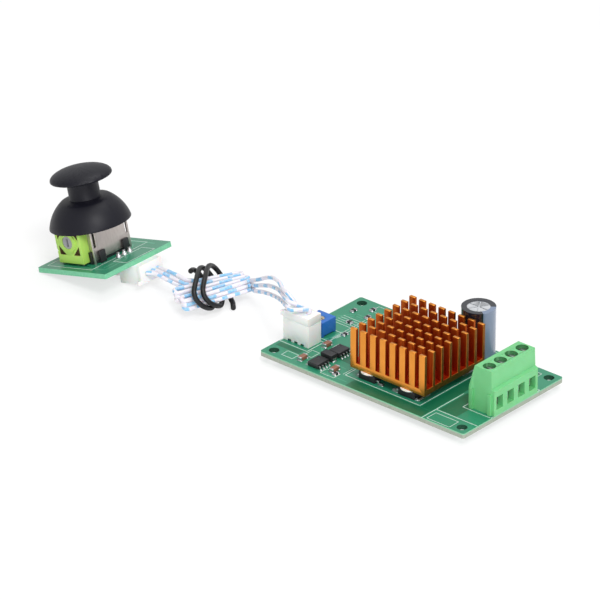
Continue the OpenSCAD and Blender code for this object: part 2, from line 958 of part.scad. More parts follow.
module block_profile() {
    polygon([[block_back, 0], [block_back, block_height * block_step_share],
             [block_back + block_lean, block_height],
             [block_face - block_brow, block_height],
             [block_face - block_ledge, block_height * block_brow_share],
             [block_face, block_height * block_sill_share], [block_face, 0]]);
}

module terminal_body() {
    ribs = [block_back + block_rib, block_face - 3 * block_rib];
    rib_top = block_height * block_step_share;
    color("#86d492")
        difference() {
            union() {
                translate([0, block_y, top])
                    rotate([90, 0, 0])
                        linear_extrude(height = block_length, center = true)
                            block_profile();
                for (x = ribs)
                    translate([x, block_y - block_length / 2, top])
                        slab(0, block_rib_width, -block_rib, 0, 0, rib_top);
            }
            for (x = ribs)
                translate([x, block_y + block_length / 2, top])
                    slab(-fit, block_rib_width + fit, -block_rib, fit, -fit, rib_top);
            at_poles()
                pole_space();
        }
}

// What is hollow in the block for one wire
module pole_space() {
    x = clamp_length / 2 + slide_fit;
    y = clamp_width / 2 + slide_fit;
    translate([screw_x, 0, 0]) {
        slab(-x, x, -y, y, clamp_low - gap, chamber_top);
        post(screw_thread + 2 * gap, chamber_top - fit, chamber_top + neck_height + fit);
        post(screw_hole, chamber_top + neck_height, block_height + fit);
    }
    slab(screw_x, block_face + fit, -window_width / 2, window_width / 2,
         window_low, window_low + window_height);
    slab(contact_back - fit, contact_back + contact_strip + fit,
         -contact_width / 2 - fit, contact_width / 2 + fit, -fit, contact_bar_top + fit);
    slab(contact_back - fit, screw_x, -contact_width / 2 - fit, contact_width / 2 + fit,
         contact_bar_top - contact_strip - fit, contact_bar_top + fit);
}

module terminal_screw(k) {
    head_low = chamber_top + neck_height + fit;
    slot = screw_head / 5;
    color("#c3c6c9")
        at_pole(k)
            translate([screw_x, 0, 0])
                difference() {
                    union() {
                        post(screw_thread, contact_bar_top + gap, head_low + fit);
                        post(screw_head, head_low, head_low + screw_head_height);
                    }
                    slab(-screw_head, screw_head, -slot / 2, slot / 2,
                         head_low + screw_head_height / 2, head_low + screw_head_height + fit);
                }
}

module terminal_clamp(k) {
    x = clamp_length / 2;
    y = clamp_width / 2;
    color("#c9cbcd")
        at_pole(k)
            translate([screw_x, 0, clamp_low])
                difference() {
                    slab(-x, x, -y, y, 0, clamp_height);
                    slab(-x - fit, x + fit, -y + clamp_wall, y - clamp_wall,
                         clamp_wall, clamp_wall + clamp_opening);
                    post(screw_thread + 2 * fit, clamp_wall, clamp_height + fit);
                }
}

module terminal_screw_1() { terminal_screw(0); }
module terminal_screw_2() { terminal_screw(1); }
module terminal_screw_3() { terminal_screw(2); }
module terminal_screw_4() { terminal_screw(3); }
module terminal_clamp_1() { terminal_clamp(0); }
module terminal_clamp_2() { terminal_clamp(1); }
module terminal_clamp_3() { terminal_clamp(2); }
module terminal_clamp_4() { terminal_clamp(3); }

// The bar that each wire is clamped against, with its soldered tail
module terminal_contacts() {
    y = contact_width / 2;
    color("#c9cbcd")
        at_poles() {
            slab(contact_back, screw_x + clamp_length / 2 - gap, -y, y,
                 contact_bar_top - contact_strip, contact_bar_top);
            slab(contact_back, contact_back + contact_strip, -y, y, 0, contact_bar_top);
            slab(contact_back, contact_back + contact_strip, -y / 2, y / 2,
                 ground - top, fit);
            translate([contact_back + contact_strip / 2, 0, -top])
                solder_cone_down();
        }
}

// Joystick board and its side-entry header

module joystick_board() {
    color("#2f8f6c")
        at_joystick()
            difference() {
                linear_extrude(height = top)
                    offset(r = board_corner / 2, $fn = 24)
                        square([joy_board_length - board_corner,
                                joy_board_width - board_corner], center = true);
                translate([pins_a, pins_b, 0])
                    rotate([0, 0, 90])
                        row(3, header_pitch)
                            post(header_pin * sqrt(2) + 2 * fit, -fit, top + fit, 20);
                translate([module_a, module_b, 0]) {
                    for (sx = [-1, 1], sy = [-1, 1])
                        scale([sx, sy, 1])
                            slab(half - leg_width - fit, half + fit, half - fit,
                                 half + leg_sheet + fit, -fit, top + fit);
                    for (a = [0, -90])
                        rotate([0, 0, a])
                            translate([0, -half - pot_thickness / 4, 0])
                                row(3, header_pitch)
                                    post(trimmer_pin + 2 * fit, -fit, top + fit, 20);
                }
            }
}

module at_side_header() {
    at_joystick()
        translate([0, pins_b, 0])
            children();
}

module side_header() {
    y = header_length / 2;
    back = pins_a - back_block;
    color("#e2e2dd")
        at_side_header()
            difference() {
                union() {
                    slab(foot_a, mouth_a, -y, y, -side_header_height, 0);
                    slab(back, foot_a, -y, y, -back_block_height, 0);
                }
                slab(foot_a + header_wall, mouth_a + fit, -socket_length / 2,
                     socket_length / 2, -side_header_height + header_wall, -header_wall);
                rotate([0, 0, 90])
                    row(3, header_pitch) {
                        translate([0, 0, side_pin_c])
                            bar_y(header_pin * sqrt(2) + 2 * fit, -mouth_a, -pins_a);
                        translate([0, -pins_a, 0])
                            post(header_pin * sqrt(2) + 2 * fit,
                                 side_pin_c - header_pin / 2, fit);
                    }
            }
}

module side_header_pins() {
    s = header_pin / 2;
    color("#d6d0bd")
        at_side_header()
            for (k = [-1, 0, 1])
                translate([0, k * header_pitch, 0]) {
                    slab(pins_a - s, mouth_a - header_floor, -s, s,
                         side_pin_c - s, side_pin_c + s);
                    slab(pins_a - s, pins_a + s, -s, s, side_pin_c - s,
                         top + solder_height + gap);
                    translate([pins_a, 0, 0])
                        solder_cone(top, solder_height);
                }
}

// A plug pushed in along the joystick board, its header's floor being at the foot
module at_side_plug() {
    at_joystick()
        translate([foot_a + header_wall - header_floor, pins_b, side_pin_c])
            rotate([0, 90, 0])
                rotate([0, 0, 90])
                    children();
}

side_insert = mouth_a - foot_a - header_wall + header_floor;

module joystick_plug() {
    color("#e6e6e1")
        at_side_plug()
            plug_body(side_insert, side_plug_collar);
}

module joystick_contacts() {
    color("#c9b26a")
        at_side_plug()
            row(3, header_pitch)
                crimp_contact(side_insert);
}

// Joystick: base, frame and potentiometers, measured from the stick's turning centre

module joystick_base() {
    p = inner - fit;
    color("#1b1b1d")
        at_pivot() {
            difference() {
                union() {
                    slab(-p, p, -p, p, lug_low, base_top);
                    post(2 * (spring_radius + spring_wire + gap + seat_wall), base_top - fit,
                         base_top + seat_height);
                    slab(post_x, post_x + post_width, -post_half, post_half,
                         base_top - fit, post_half);
                }
                post(2 * (spring_radius + spring_wire + gap), base_top,
                     base_top + seat_height + fit);
                bar_x(axle_diameter + 2 * fit, post_x - fit, post_x + post_width + fit);
            }
            for (a = [0, 90], y = [-lug_place, lug_place])
                rotate([0, 0, a])
                    translate([0, y, 0])
                        lug(lug_width);
            for (q = [[-90, 1], [180, -1]])
                rotate([0, 0, q[0]])
                    translate([0, q[1] * (pot_width / 2 + lug_width / 4 + fit), 0])
                        lug(lug_width / 2);
        }
}

// A foot that reaches out under the frame and up outside it
module lug(wide) {
    slab(inner - 2 * fit, half + lug_depth, -wide / 2, wide / 2, lug_low, base_top);
    slab(half + fit, half + lug_depth, -wide / 2, wide / 2, lug_low, lug_top);
}

module joystick_frame() {
    color("#b7b1ab")
        at_pivot()
            difference() {
                union() {
                    slab(-half, half, -half, half, frame_low, frame_top + frame_sheet);
                    for (sx = [-1, 1], sy = [-1, 1])
                        scale([sx, sy, 1])
                            slab(half - leg_width, half, half, half + leg_sheet,
                                 leg_low, leg_top);
                }
                slab(-inner, inner, -inner, inner, frame_low - fit, frame_top);
                for (sx = [-1, 1], sy = [-1, 1])
                    scale([sx, sy, 1])
                        slab(half - frame_notch, half + fit, half - frame_notch, half,
                             frame_notch_low, frame_top + frame_sheet + fit);
                post(2 * stick_hole, frame_top - fit, frame_top + frame_sheet + fit);
                bar_y(axle_diameter + 2 * fit, -half - fit, half + fit);
                bar_x(axle_diameter + 2 * fit, -half - fit, 0);
            }
}

// One potentiometer, written for the side toward -Y

module pot_case() {
    r = pot_width / 2;
    face = half + pot_thickness;
    color("#a8d06a")
        difference() {
            union() {
                slab(-r, r, -face, -half, pot_low, shoulder_z);
                intersection() {
                    slab(-r, r, -face, -half, shoulder_z - fit, pot_high);
                    sphere(r = clear_radius, $fn = 64);
                }
                bar_y(boss_diameter, -face - boss_height, -face + fit);
            }
            bar_y(hub_diameter + 2 * fit, -face - boss_height - fit, -half + fit);
            bar_y(track_diameter + 2 * fit, -half - track_height, -half + fit);
            for (s = [-1, 1])
                scale([s, 1, 1])
                    translate([0, -face, 0])
                        pot_window();
            for (k = [-1, 0, 1])
                translate([k * header_pitch, -half - pot_thickness / 4, 0])
                    post(trimmer_pin + 2 * fit, pot_low - fit, pot_pin_top, 20);
        }
}

// Three-sided recesses in the face above and below, beside the hub
module pot_window() {
    rotate([90, 0, 0])
        linear_extrude(height = 2 * pot_recess, center = true)
            for (q = pot_windows)
                polygon(q);
}

module pot_track() {
    color("#6b4a32")
        difference() {
            bar_y(track_diameter, -half - track_height + fit, -half);
            bar_y(hub_diameter + 2 * fit, -half - track_height, -half + fit);
        }
}

module pot_pins() {
    color("#c9c4b4")
        for (k = [-1, 0, 1])
            translate([k * header_pitch, -half - pot_thickness / 4, 0])
                post(trimmer_pin, -pivot_height - top + fit, pot_pin_top - fit, 16);
}

module pot_hub() {
    slot = hub_diameter / 5;
    color("#9a9aa0")
        difference() {
            bar_y(hub_diameter, -hub_face, -half - fit);
            bar_y(axle_diameter, -axle_reach, -half);
            slab(-slot / 2, slot / 2, -hub_face - fit, -hub_face + slot, -hub_diameter / 3,
                 hub_diameter / 3);
        }
}

module pot_x_case() { at_pivot() pot_case(); }
module pot_y_case() { on_x_side() pot_case(); }
module pot_x_track() { at_pivot() pot_track(); }
module pot_y_track() { on_x_side() pot_track(); }
module pot_x_hub() { at_pivot() pot_hub(); }
module pot_y_hub() { on_x_side() pot_hub(); }

module joystick_pot_pins() {
    at_pivot()
        pot_pins();
    on_x_side()
        pot_pins();
}

// The lower rocker holds the stick's pin and turns with it about Y
module rocker_x() {
    color("#e8e4da")
        at_pivot()
            difference() {
                union() {
                    slab(-yoke_x, yoke_x, -yoke_y, yoke_y, -yoke_z, yoke_z);
                    bar_y(axle_diameter, -axle_reach, -yoke_y + fit);
                    bar_y(axle_diameter, yoke_y - fit, half + leg_sheet);
                }
                slab(-yoke_slot_x, yoke_slot_x, -yoke_slot_y, yoke_slot_y,
                     -yoke_z - fit, yoke_z + fit);
                bar_x(pin_diameter + 2 * fit, -yoke_x - fit, yoke_x + fit);
            }
}

// The upper rocker arches over the lower one and turns about X, with a slot for the stick
module rocker_y() {
    low = axle_diameter / 2;
    color("#e8e4da")
        at_pivot()
            difference() {
                union() {
                    intersection() {
                        bar_y(2 * arch_out, -arch_half, arch_half);
                        slab(-arch_out, arch_out, -arch_half, arch_half, -low, arch_out);
                    }
                    bar_x(axle_diameter, -axle_reach, -arch_in);
                    bar_x(axle_diameter, arch_in, post_x + post_width);
                }
                bar_y(2 * arch_in, -arch_half - fit, arch_half + fit);
                slab(-slot_reach, slot_reach, -stick_diameter / 2 - gap,
                     stick_diameter / 2 + gap, 0, arch_out + fit);
            }
}

module stick() {
    color("#e8e4da")
        at_pivot()
            difference() {
                union() {
                    post(stick_diameter, 0, bore_top - fit, 32);
                    intersection() {
                        post(stick_diameter, -foot_radius, fit, 32);
                        sphere(r = foot_radius, $fn = 48);
                    }
                }
                bar_x(pin_diameter, -stick_diameter, stick_diameter);
            }
}

module stick_pin() {
    color("#b9bcc0")
        at_pivot()
            bar_x(pin_diameter, -yoke_x + fit, yoke_x - fit);
}

// A coil spring that holds the centring plate up under the stick's foot
module return_spring() {
    high = plate_top - plate_height - base_top - spring_wire;
    steps = spring_turns * 12;
    p = [for (i = [0 : steps])
        [spring_radius * cos(360 * i / 12), spring_radius * sin(360 * i / 12),
         base_top + spring_wire / 2 + high * i / steps]];
    color("#b9bcc0")
        at_pivot()
            tube(p, spring_wire, 6, [0, 0, 1], tangents(p));
}

module spring_plate() {
    color("#dcd8cf")
        at_pivot()
            post(plate_diameter, plate_top - plate_height, plate_top, 32);
}

// Knob cap: a hollow round skirt, a neck and a domed thumb disc on the stick

function arc(r, from, to, n) = [
    for (i = [0 : n])
        let (a = from + (to - from) * i / n)
            [r * cos(a), r * sin(a)]
];

// The flatter top of the skirt, from its round side in to the neck
function crown(r, neck, high) = [
    for (i = [1 : 5])
        let (x = r * cos(crown_angle), z = r * sin(crown_angle))
            [x + (neck - x) * i / 5, z + (high - z) * sin(90 * i / 5)]
];

module knob_cap() {
    neck = neck_diameter / 2;
    inside = skirt_radius - skirt_wall;
    disc_low = cap_top - disc_height;
    middle = disc_low + disc_height * disc_under_share;
    outer = concat(arc(skirt_radius, rim_angle, crown_angle, 12),
                   crown(skirt_radius, neck, crown_top));
    under = [for (a = [90 : -10 : 10])
        [disc_diameter / 2 - (disc_diameter / 2 - neck) * pow(sin(a), 3),
         middle - (middle - disc_low) * sin(a)]];
    over = [for (a = [0 : 10 : 90])
        [disc_diameter / 2 * cos(a), middle + (cap_top - middle) * sin(a)]];
    low_crown = crown_top - skirt_wall;
    in_crown = crown(inside, neck, low_crown);
    hollow = concat([[0, low_crown]], [for (i = [len(in_crown) - 1 : -1 : 0]) in_crown[i]],
                    arc(inside, crown_angle, asin(skirt_rim / inside), 12));
    color("#232226")
        at_pivot() {
            difference() {
                rotate_extrude($fn = 48)
                    polygon(concat(outer, under, over, hollow));
                post(stick_diameter, 0, bore_top, 32);
            }
            difference() {
                post(cap_boss, boss_low, low_crown + skirt_wall / 2, 32);
                post(stick_diameter, boss_low - fit, bore_top, 32);
            }
        }
}

// Cable

// The hank lies on its side: the way its runs lie, level across them, the way the layers follow
// one another, and the way down across the ribbon
hank_along = [cos(hank_angle), sin(hank_angle), 0];
hank_level = [sin(hank_angle), -cos(hank_angle), 0];
hank_out = sin(hank_roll) * hank_level + cos(hank_roll) * [0, 0, 1];
hank_down = cos(hank_roll) * hank_level - sin(hank_roll) * [0, 0, 1];

hank_start = hank_point(0, hank_entry);

// Route of the ribbon from the joystick's plug to the top of the hank
lead_route = [
    plug_exit,
    plug_exit + ribbon_lead_out * plug_out,
    [-92.4, -8.1, 3.9],
    [-88.6, -8.6, 4.1],
    [-84.9, -8.8, 4.1],
    [-81.4, -8.6, 3.8],
    hank_start
];

// Route of the middle wire from the hank to the driver board's plug, and the spread of the
// outer two wires beside it
wire_route = [
    [-64.1, 3.2, 4.6],
    [-60, 1.7, 6.6],
    [-55.8, -0.1, 8.6],
    [-51, -2.5, 10.5],
    [-45.9, -5.8, 12.2],
    [-41, -9.7, 13.5],
    [-36.8, -12, 14.2]
];
wire_spread = [
    [0.7, -0.8, -1.3],
    [0.9, -0.8, -1.6],
    [1.3, -0.9, -2],
    [1.7, -1.2, -2.2],
    [2, -1.6, -1.9],
    [2.2, -1.9, -1.2],
    [2.2, -1.9, -1.1]
];

// Each run is turned a little from the one before
function hank_turned(run) = hank_fan * ((hank_runs - 1) / 2 - run);

function hank_way(run) =
    cos(hank_turned(run)) * hank_along + sin(hank_turned(run)) * hank_down;

function hank_side(run) =
    cos(hank_turned(run)) * hank_down - sin(hank_turned(run)) * hank_along;

function hank_point(run, along) =
    hank_middle + hank_hinge * hank_along + (along - hank_hinge) * hank_way(run)
        + (run - (hank_runs - 1) / 2) * (hank_layer * hank_out + hank_drop * hank_down);

// Rings of the hank as [run, distance along it]: straight runs joined by half-round turns
hank_stations = [
    for (r = [0 : hank_runs - 1])
        let (s = r % 2 == 0 ? 1 : -1,
             from = r == 0 ? hank_entry : -s * hank_half,
             to = r == hank_runs - 1 ? s * hank_exit : s * hank_half)
            each concat(
                [for (k = [0 : straight_rings - 1])
                    [r, from + (to - from) * k / (straight_rings - 1)]],
                r == hank_runs - 1 ? [] :
                    [for (k = [1 : turn_rings - 1])
                        let (a = 180 * k / turn_rings)
                            [r + (1 - cos(a)) / 2,
                             s * (hank_half + hank_layer / 2 * sin(a))]])
];
hank_points = [for (q = hank_stations) hank_point(q[0], q[1])];
hank_sides = [for (q = hank_stations) hank_side(q[0])];
lead_points = curve(lead_route, 3);
lead_ways = squared(tangents(lead_points), plug_out, hank_way(0));
lead_sides = [for (i = [0 : len(lead_ways) - 1])
    let (t = lead_ways[i],
         turned = max(0, min(1, (i - 1) / (len(lead_ways) - 4))),
         s = (1 - turned) * unit([t[1], -t[0], 0]) + turned * hank_side(0))
        unit(s - (s * t) * t)];
lead_spread = [for (i = [0 : len(lead_points) - 1])
    1 + (header_pitch / ribbon_pitch - 1) * max(0, 1 - i / 5)];

function wire_points(k) =
    let (away = hank_point(hank_runs - 1, hank_exit) + k * (wire_diameter + fit)
            * hank_side(hank_runs - 1),
         into = [header_x + k * header_pitch, header_y, top + plug_rise])
        curve(concat(
            [away, away + wire_lead_out * hank_way(hank_runs - 1)],
            [for (i = [0 : len(wire_route) - 1]) wire_route[i] + k * wire_spread[i]],
            [into + [0, 0, wire_lead_out], into]), 2);

// Least clear distance between stretches of the ribbon that aren't next to each other
function least(v, i = 0, best = 1000) =
    i == len(v) ? best : least(v, i + 1, min(best, v[i]));

hank_fine = [for (i = [0 : len(hank_points) - 2], k = [0 : fine_steps - 1])
    hank_points[i] + (hank_points[i + 1] - hank_points[i]) * k / fine_steps];
hank_gap = least([
    for (i = [0 : len(hank_fine) - 1], j = [i + 1 : 1 : len(hank_fine) - 1])
        if (j - i > fine_steps * turn_rings)
            norm(hank_fine[i] - hank_fine[j]) - wire_diameter
]);
echo(least_gap_in_hank = hank_gap);

module ribbon_lead() {
    color("#f4f5f8")
        skin(ribbon_rings(lead_points, lead_ways, lead_sides, lead_spread), lead_points);
}

module ribbon_hank() {
    even = [for (p = hank_points) 1];
    t = [for (i = [0 : len(hank_points) - 1])
        i == 0 ? hank_way(0)
            : i == len(hank_points) - 1 ? hank_way(hank_runs - 1)
            : unit(hank_points[i + 1] - hank_points[i - 1])];
    color("#f4f5f8")
        skin(ribbon_rings(hank_points, t, hank_sides, even), hank_points);
}

module wire(k) {
    p = wire_points(k);
    color("#f4f5f8")
        tube(p, wire_diameter, 8, hank_side(hank_runs - 1),
             squared(tangents(p), hank_way(hank_runs - 1), [0, 0, -1]));
}

module wire_1() { wire(-1); }
module wire_2() { wire(0); }
module wire_3() { wire(1); }

// Turns round the hank, loose, aslant and bowed in front, with a tail
tie_wide = ribbon_width / 2 + tie_diameter / 2 + tie_gap + tie_slack[0];
tie_high = (hank_runs - 1) / 2 * hank_layer + wire_diameter / 2 + tie_diameter / 2
    + tie_gap + tie_slack[1];
tie_loops = [for (i = [0 : tie_steps - 1])
    let (a = tie_start + 360 * i / tie_turn,
         x = tie_wide * sign(cos(a)) * pow(abs(cos(a)), tie_square),
         y = tie_high * sign(sin(a)) * pow(abs(sin(a)), tie_square),
         bow = max(0, y / tie_high) * (1 - pow(x / tie_wide, 2)),
         away = tie_at + (i - tie_steps / 2) / tie_turn * tie_pitch - tie_skew * y / tie_high
             + tie_slant * x / tie_wide - tie_bow * bow)
        hank_middle + away * hank_along + y * hank_out
            + (x + tie_shear * y - tie_rise) * hank_down];
tie_points = concat(tie_loops, [for (q = tie_tail) tie_loops[tie_steps - 1] + q]);
tie_fine = [for (i = [0 : len(tie_points) - 2], k = [0 : fine_steps - 1])
    tie_points[i] + (tie_points[i + 1] - tie_points[i]) * k / fine_steps];
echo(least_gap_in_tie = least([
    for (i = [0 : len(tie_fine) - 1], j = [i + 1 : 1 : len(tie_fine) - 1])
        if (j - i > fine_steps * tie_turn / 3) norm(tie_fine[i] - tie_fine[j]) - tie_diameter
]));

module twist_tie() {
    color("#141415")
        tube(tie_points, tie_diameter, 6, [0, 0, 1], tangents(tie_points));
}

driver_board();
heatsink();
glue_dots();
power_transistors();
transistor_tabs();
chip_bodies();
chip_leads();
diode();
diode_ends();
chip_capacitors();
resistors();
end_caps();
trimmer_case();
trimmer_rotor();
trimmer_pins();
capacitor_can();
capacitor_sleeve();
capacitor_bung();
capacitor_leads();
header_shroud();
header_pins();
driver_plug();
driver_contacts();
terminal_body();
terminal_screw_1();
terminal_screw_2();
terminal_screw_3();
terminal_screw_4();
terminal_clamp_1();
terminal_clamp_2();
terminal_clamp_3();
terminal_clamp_4();
terminal_contacts();
joystick_board();
side_header();
side_header_pins();
joystick_plug();
joystick_contacts();
joystick_base();
joystick_frame();
pot_x_case();
pot_y_case();
pot_x_track();
pot_y_track();
joystick_pot_pins();
rocker_x();
pot_x_hub();
rocker_y();
pot_y_hub();
stick();
stick_pin();
return_spring();
spring_plate();
knob_cap();
ribbon_lead();
ribbon_hank();
wire_1();
wire_2();
wire_3();
twist_tie();
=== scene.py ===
import math
import bpy
import bmesh
from mathutils import Matrix, Vector


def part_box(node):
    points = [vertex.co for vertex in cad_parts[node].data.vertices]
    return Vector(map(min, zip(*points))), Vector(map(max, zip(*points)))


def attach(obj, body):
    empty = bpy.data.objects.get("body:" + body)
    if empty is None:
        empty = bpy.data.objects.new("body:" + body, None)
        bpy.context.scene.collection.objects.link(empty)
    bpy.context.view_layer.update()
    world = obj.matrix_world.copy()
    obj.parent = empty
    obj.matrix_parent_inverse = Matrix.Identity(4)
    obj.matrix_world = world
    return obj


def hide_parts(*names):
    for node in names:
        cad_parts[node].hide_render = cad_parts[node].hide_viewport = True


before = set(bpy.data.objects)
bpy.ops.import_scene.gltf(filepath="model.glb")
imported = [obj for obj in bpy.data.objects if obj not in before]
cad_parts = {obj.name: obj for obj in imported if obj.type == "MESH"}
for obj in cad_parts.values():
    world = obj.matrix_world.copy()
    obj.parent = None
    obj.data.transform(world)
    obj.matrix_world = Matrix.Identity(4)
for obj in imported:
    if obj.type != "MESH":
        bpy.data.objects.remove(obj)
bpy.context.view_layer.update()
bpy.ops.object.select_all(action="DESELECT")

# Camera
# A long lens a metre and a half away, so that the boards' edges stay nearly parallel. It
# looks down on the boards from their front, with the joystick to the left.
bpy.ops.object.camera_add(location=(0.845533, -1.018383, 0.708273),
                          rotation=(math.radians(62.613), 0, math.radians(41.114)))
camera = bpy.context.object
camera.data.lens = 305.8
camera.data.sensor_width = 36
camera.data.clip_end = 20
bpy.context.scene.camera = camera
bpy.context.scene.view_settings.view_transform = "Standard"

# Ribbon cable
# Three vinyl-insulated wires fused side by side. The ribbon is folded to and fro into a flat
# hank that lies on its side, and its front end comes out of the joystick's plug.
WIRE = 0.0013
CONTACT_PITCH = 0.0025
WIRE_SIDES = 16
CURVE_STEPS = 5
# The print starts this many millimetres further on with each strand.
DASH_SHIFT = 1.3
JOYSTICK_LEAN = math.asin(0.2445191)
PLUG_OUT = Vector((math.cos(JOYSTICK_LEAN), 0, math.sin(JOYSTICK_LEAN)))
# The lead is level for its first steps and slants as the hank does for its last. Its wires
# close up over the closing steps.
LEVEL_STEPS = 2
SLANTED_STEPS = 4
CLOSING_STEPS = 8
# The runs lie a layer apart and a little lower each, and fan out from a point near one end.
RUNS = 5
MIDDLE_RUN = 2
LAYER = 0.0018
DROOP = 0.0009
FAN = math.radians(1.5)
FAN_POINT = 0.007
HALF_RUN = 0.011
LEAD_END = -0.003
LAST_END = 0.010
FOLD_STEPS = 12
RUN_STEPS = 9
HANK_MIDDLE = Vector((-0.0746, -0.0043, 0.0027))
HANK_TURN = math.radians(70.1)
HANK_SLANT = math.radians(30)
HANK_ALONG = Vector((math.cos(HANK_TURN), math.sin(HANK_TURN), 0))
HANK_LEVEL = Vector((HANK_ALONG.y, -HANK_ALONG.x, 0))
HANK_OUT = math.cos(HANK_SLANT) * HANK_LEVEL + Vector((0, 0, math.sin(HANK_SLANT)))
HANK_DOWN = math.sin(HANK_SLANT) * HANK_LEVEL - Vector((0, 0, math.cos(HANK_SLANT)))


def linear(colour, alpha=1):
    """An sRGB hex colour as the linear colour that a socket takes."""
    parts = [int(colour[i:i + 2], 16) / 255 for i in (1, 3, 5)]
    return tuple(c / 12.92 if c <= 0.04045 else ((c + 0.055) / 1.055) ** 2.4
                 for c in parts) + (alpha,)


def add_node(material, kind, inputs, **settings):
    """Adds a node to a material or a world. An input takes a value or a node's output."""
    new = material.node_tree.nodes.new(kind)
    for name, value in settings.items():
        setattr(new, name, value)
    for socket, value in inputs.items():
        if isinstance(value, bpy.types.NodeSocket):
            material.node_tree.links.new(value, new.inputs[socket])
        else:
            new.inputs[socket].default_value = value
    return new


def new_material(name):
    """A material with no nodes yet."""
    made = bpy.data.materials.new(name)
    made.use_nodes = True
    made.node_tree.nodes.clear()
    return made


def finish_material(made, shader):
    """Puts a shader on the material's output."""
    add_node(made, "ShaderNodeOutputMaterial", {"Surface": shader.outputs[0]})


def smooth_curve(points, steps):
    """The points with steps spans between each pair, on the curve that the cable follows."""
    out = []
    for i in range(len(points) - 1):
        a, b, c, d = (points[max(i - 1, 0)], points[i], points[i + 1],
                      points[min(i + 2, len(points) - 1)])
        for k in range(steps):
            t = k / steps
            out.append((2 * b + (c - a) * t + (2 * a - 5 * b + 4 * c - d) * t * t
                        + (3 * b - a - 3 * c + d) * t ** 3) / 2)
    return out + [points[-1]]


def tube(bm, path, sides, radius, around, strand=0, ends=None):
    """Adds a closed tube along a path. Its UVs are its turn, after the strand's whole number,
    and its length in millimetres, which starts further on for each strand."""
    uv = bm.loops.layers.uv.verify()
    rings, run = [], [DASH_SHIFT * strand]
    side = sides[0]
    for i, p in enumerate(path):
        way = (path[min(i + 1, len(path) - 1)] - path[max(i - 1, 0)]).normalized()
        if ends and i == 0:
            way = ends[0]
        if ends and i == len(path) - 1:
            way = ends[1]
        side = (sides[i] if len(sides) > 1 else side)
        side = (side - way * side.dot(way)).normalized()
        up = way.cross(side)
        rings.append([bm.verts.new(p + radius * (math.cos(math.tau * k / around) * side
                                                 + math.sin(math.tau * k / around) * up))
                      for k in range(around)])
        if i:
            run.append(run[-1] + (p - path[i - 1]).length * 1000)
    for i in range(len(rings) - 1):
        for k in range(around):
            n = (k + 1) % around
            face = bm.faces.new((rings[i][k], rings[i][n], rings[i + 1][n], rings[i + 1][k]))
            face.smooth = True
            for loop, (r, q) in zip(face.loops,
                                    ((i, k), (i, k + 1), (i + 1, k + 1), (i + 1, k))):
                loop[uv].uv = (q / around + strand, run[r])
    bm.faces.new(list(reversed(rings[0])))
    bm.faces.new(rings[-1])


def mesh_piece(name, bm, material):
    """A finished mesh as an object with one material."""
    data = bpy.data.meshes.new(name)
    bmesh.ops.recalc_face_normals(bm, faces=bm.faces)
    bm.to_mesh(data)
    bm.free()
    piece = bpy.data.objects.new(name, data)
    bpy.context.collection.objects.link(piece)
    data.materials.append(material)
    return piece


# Extruded vinyl is smooth and waxy, so light goes soft round each wire. The ink printed on
# it is duller.
white_vinyl = new_material("extruded_white_vinyl_with_ink_dashes")
place = add_node(white_vinyl, "ShaderNodeUVMap", {})
split = add_node(white_vinyl, "ShaderNodeSeparateXYZ", {0: place.outputs[0]})
# Dashes 1.8 mm long come every 4.4 mm on the first strand, and longer ones on the others.
strand = add_node(white_vinyl, "ShaderNodeMath", {0: split.outputs["X"]}, operation="FLOOR")
pitch = add_node(white_vinyl, "ShaderNodeMath", {0: strand.outputs[0], 1: 2.6, 2: 4.4},
                 operation="MULTIPLY_ADD")
printed = add_node(white_vinyl, "ShaderNodeMath", {0: strand.outputs[0], 1: 1.3, 2: 1.8},
                   operation="MULTIPLY_ADD")
along = add_node(white_vinyl, "ShaderNodeMath", {0: split.outputs["Y"], 1: pitch.outputs[0]},
                 operation="FLOORED_MODULO")
dash = add_node(white_vinyl, "ShaderNodeMath", {0: along.outputs[0], 1: printed.outputs[0]},
                operation="LESS_THAN")
# Each dash shows twice round its wire and covers most of it.
wavy = add_node(white_vinyl, "ShaderNodeMath", {0: split.outputs["X"], 1: 2.0},
                operation="MULTIPLY")
turn = add_node(white_vinyl, "ShaderNodeMath", {0: wavy.outputs[0], 1: 1.0},
                operation="FLOORED_MODULO")
band = add_node(white_vinyl, "ShaderNodeMath", {0: turn.outputs[0], 1: 0.5, 2: 0.3},
                operation="COMPARE")
ink = add_node(white_vinyl, "ShaderNodeMath", {0: dash.outputs[0], 1: band.outputs[0]},
               operation="MULTIPLY")
spot = add_node(white_vinyl, "ShaderNodeTexCoord", {})
worn = add_node(white_vinyl, "ShaderNodeTexNoise", {"Vector": spot.outputs["Object"],
                                                     "Scale": 1000 / 1.11, "Detail": 3.0})
# Ink sits unevenly on vinyl, in flecks about a millimetre across. The vinyl's own grain is
# under 0.1 mm, drawn at 0.4 mm so that it shows.
thin = add_node(white_vinyl, "ShaderNodeMapRange", {"Value": worn.outputs[0], 1: 0.3, 2: 0.6,
                                                     3: 0.55, 4: 1.0})
cover = add_node(white_vinyl, "ShaderNodeMath", {0: ink.outputs[0], 1: thin.outputs[0]},
                 operation="MULTIPLY")
vinyl_colour = add_node(white_vinyl, "ShaderNodeMix",
                        {0: cover.outputs[0], 6: linear("#ebe8f0"), 7: linear("#84c4ec")},
                        data_type="RGBA")
vinyl_rough = add_node(white_vinyl, "ShaderNodeMapRange",
                       {"Value": cover.outputs[0], 3: 0.38, 4: 0.55})
grain = add_node(white_vinyl, "ShaderNodeTexNoise", {"Vector": spot.outputs["Object"],
                                                      "Scale": 1000 / 0.4, "Detail": 2.0})
relief = add_node(white_vinyl, "ShaderNodeBump", {"Strength": 0.08, "Distance": 0.00005,
                                                   "Height": grain.outputs[0]})
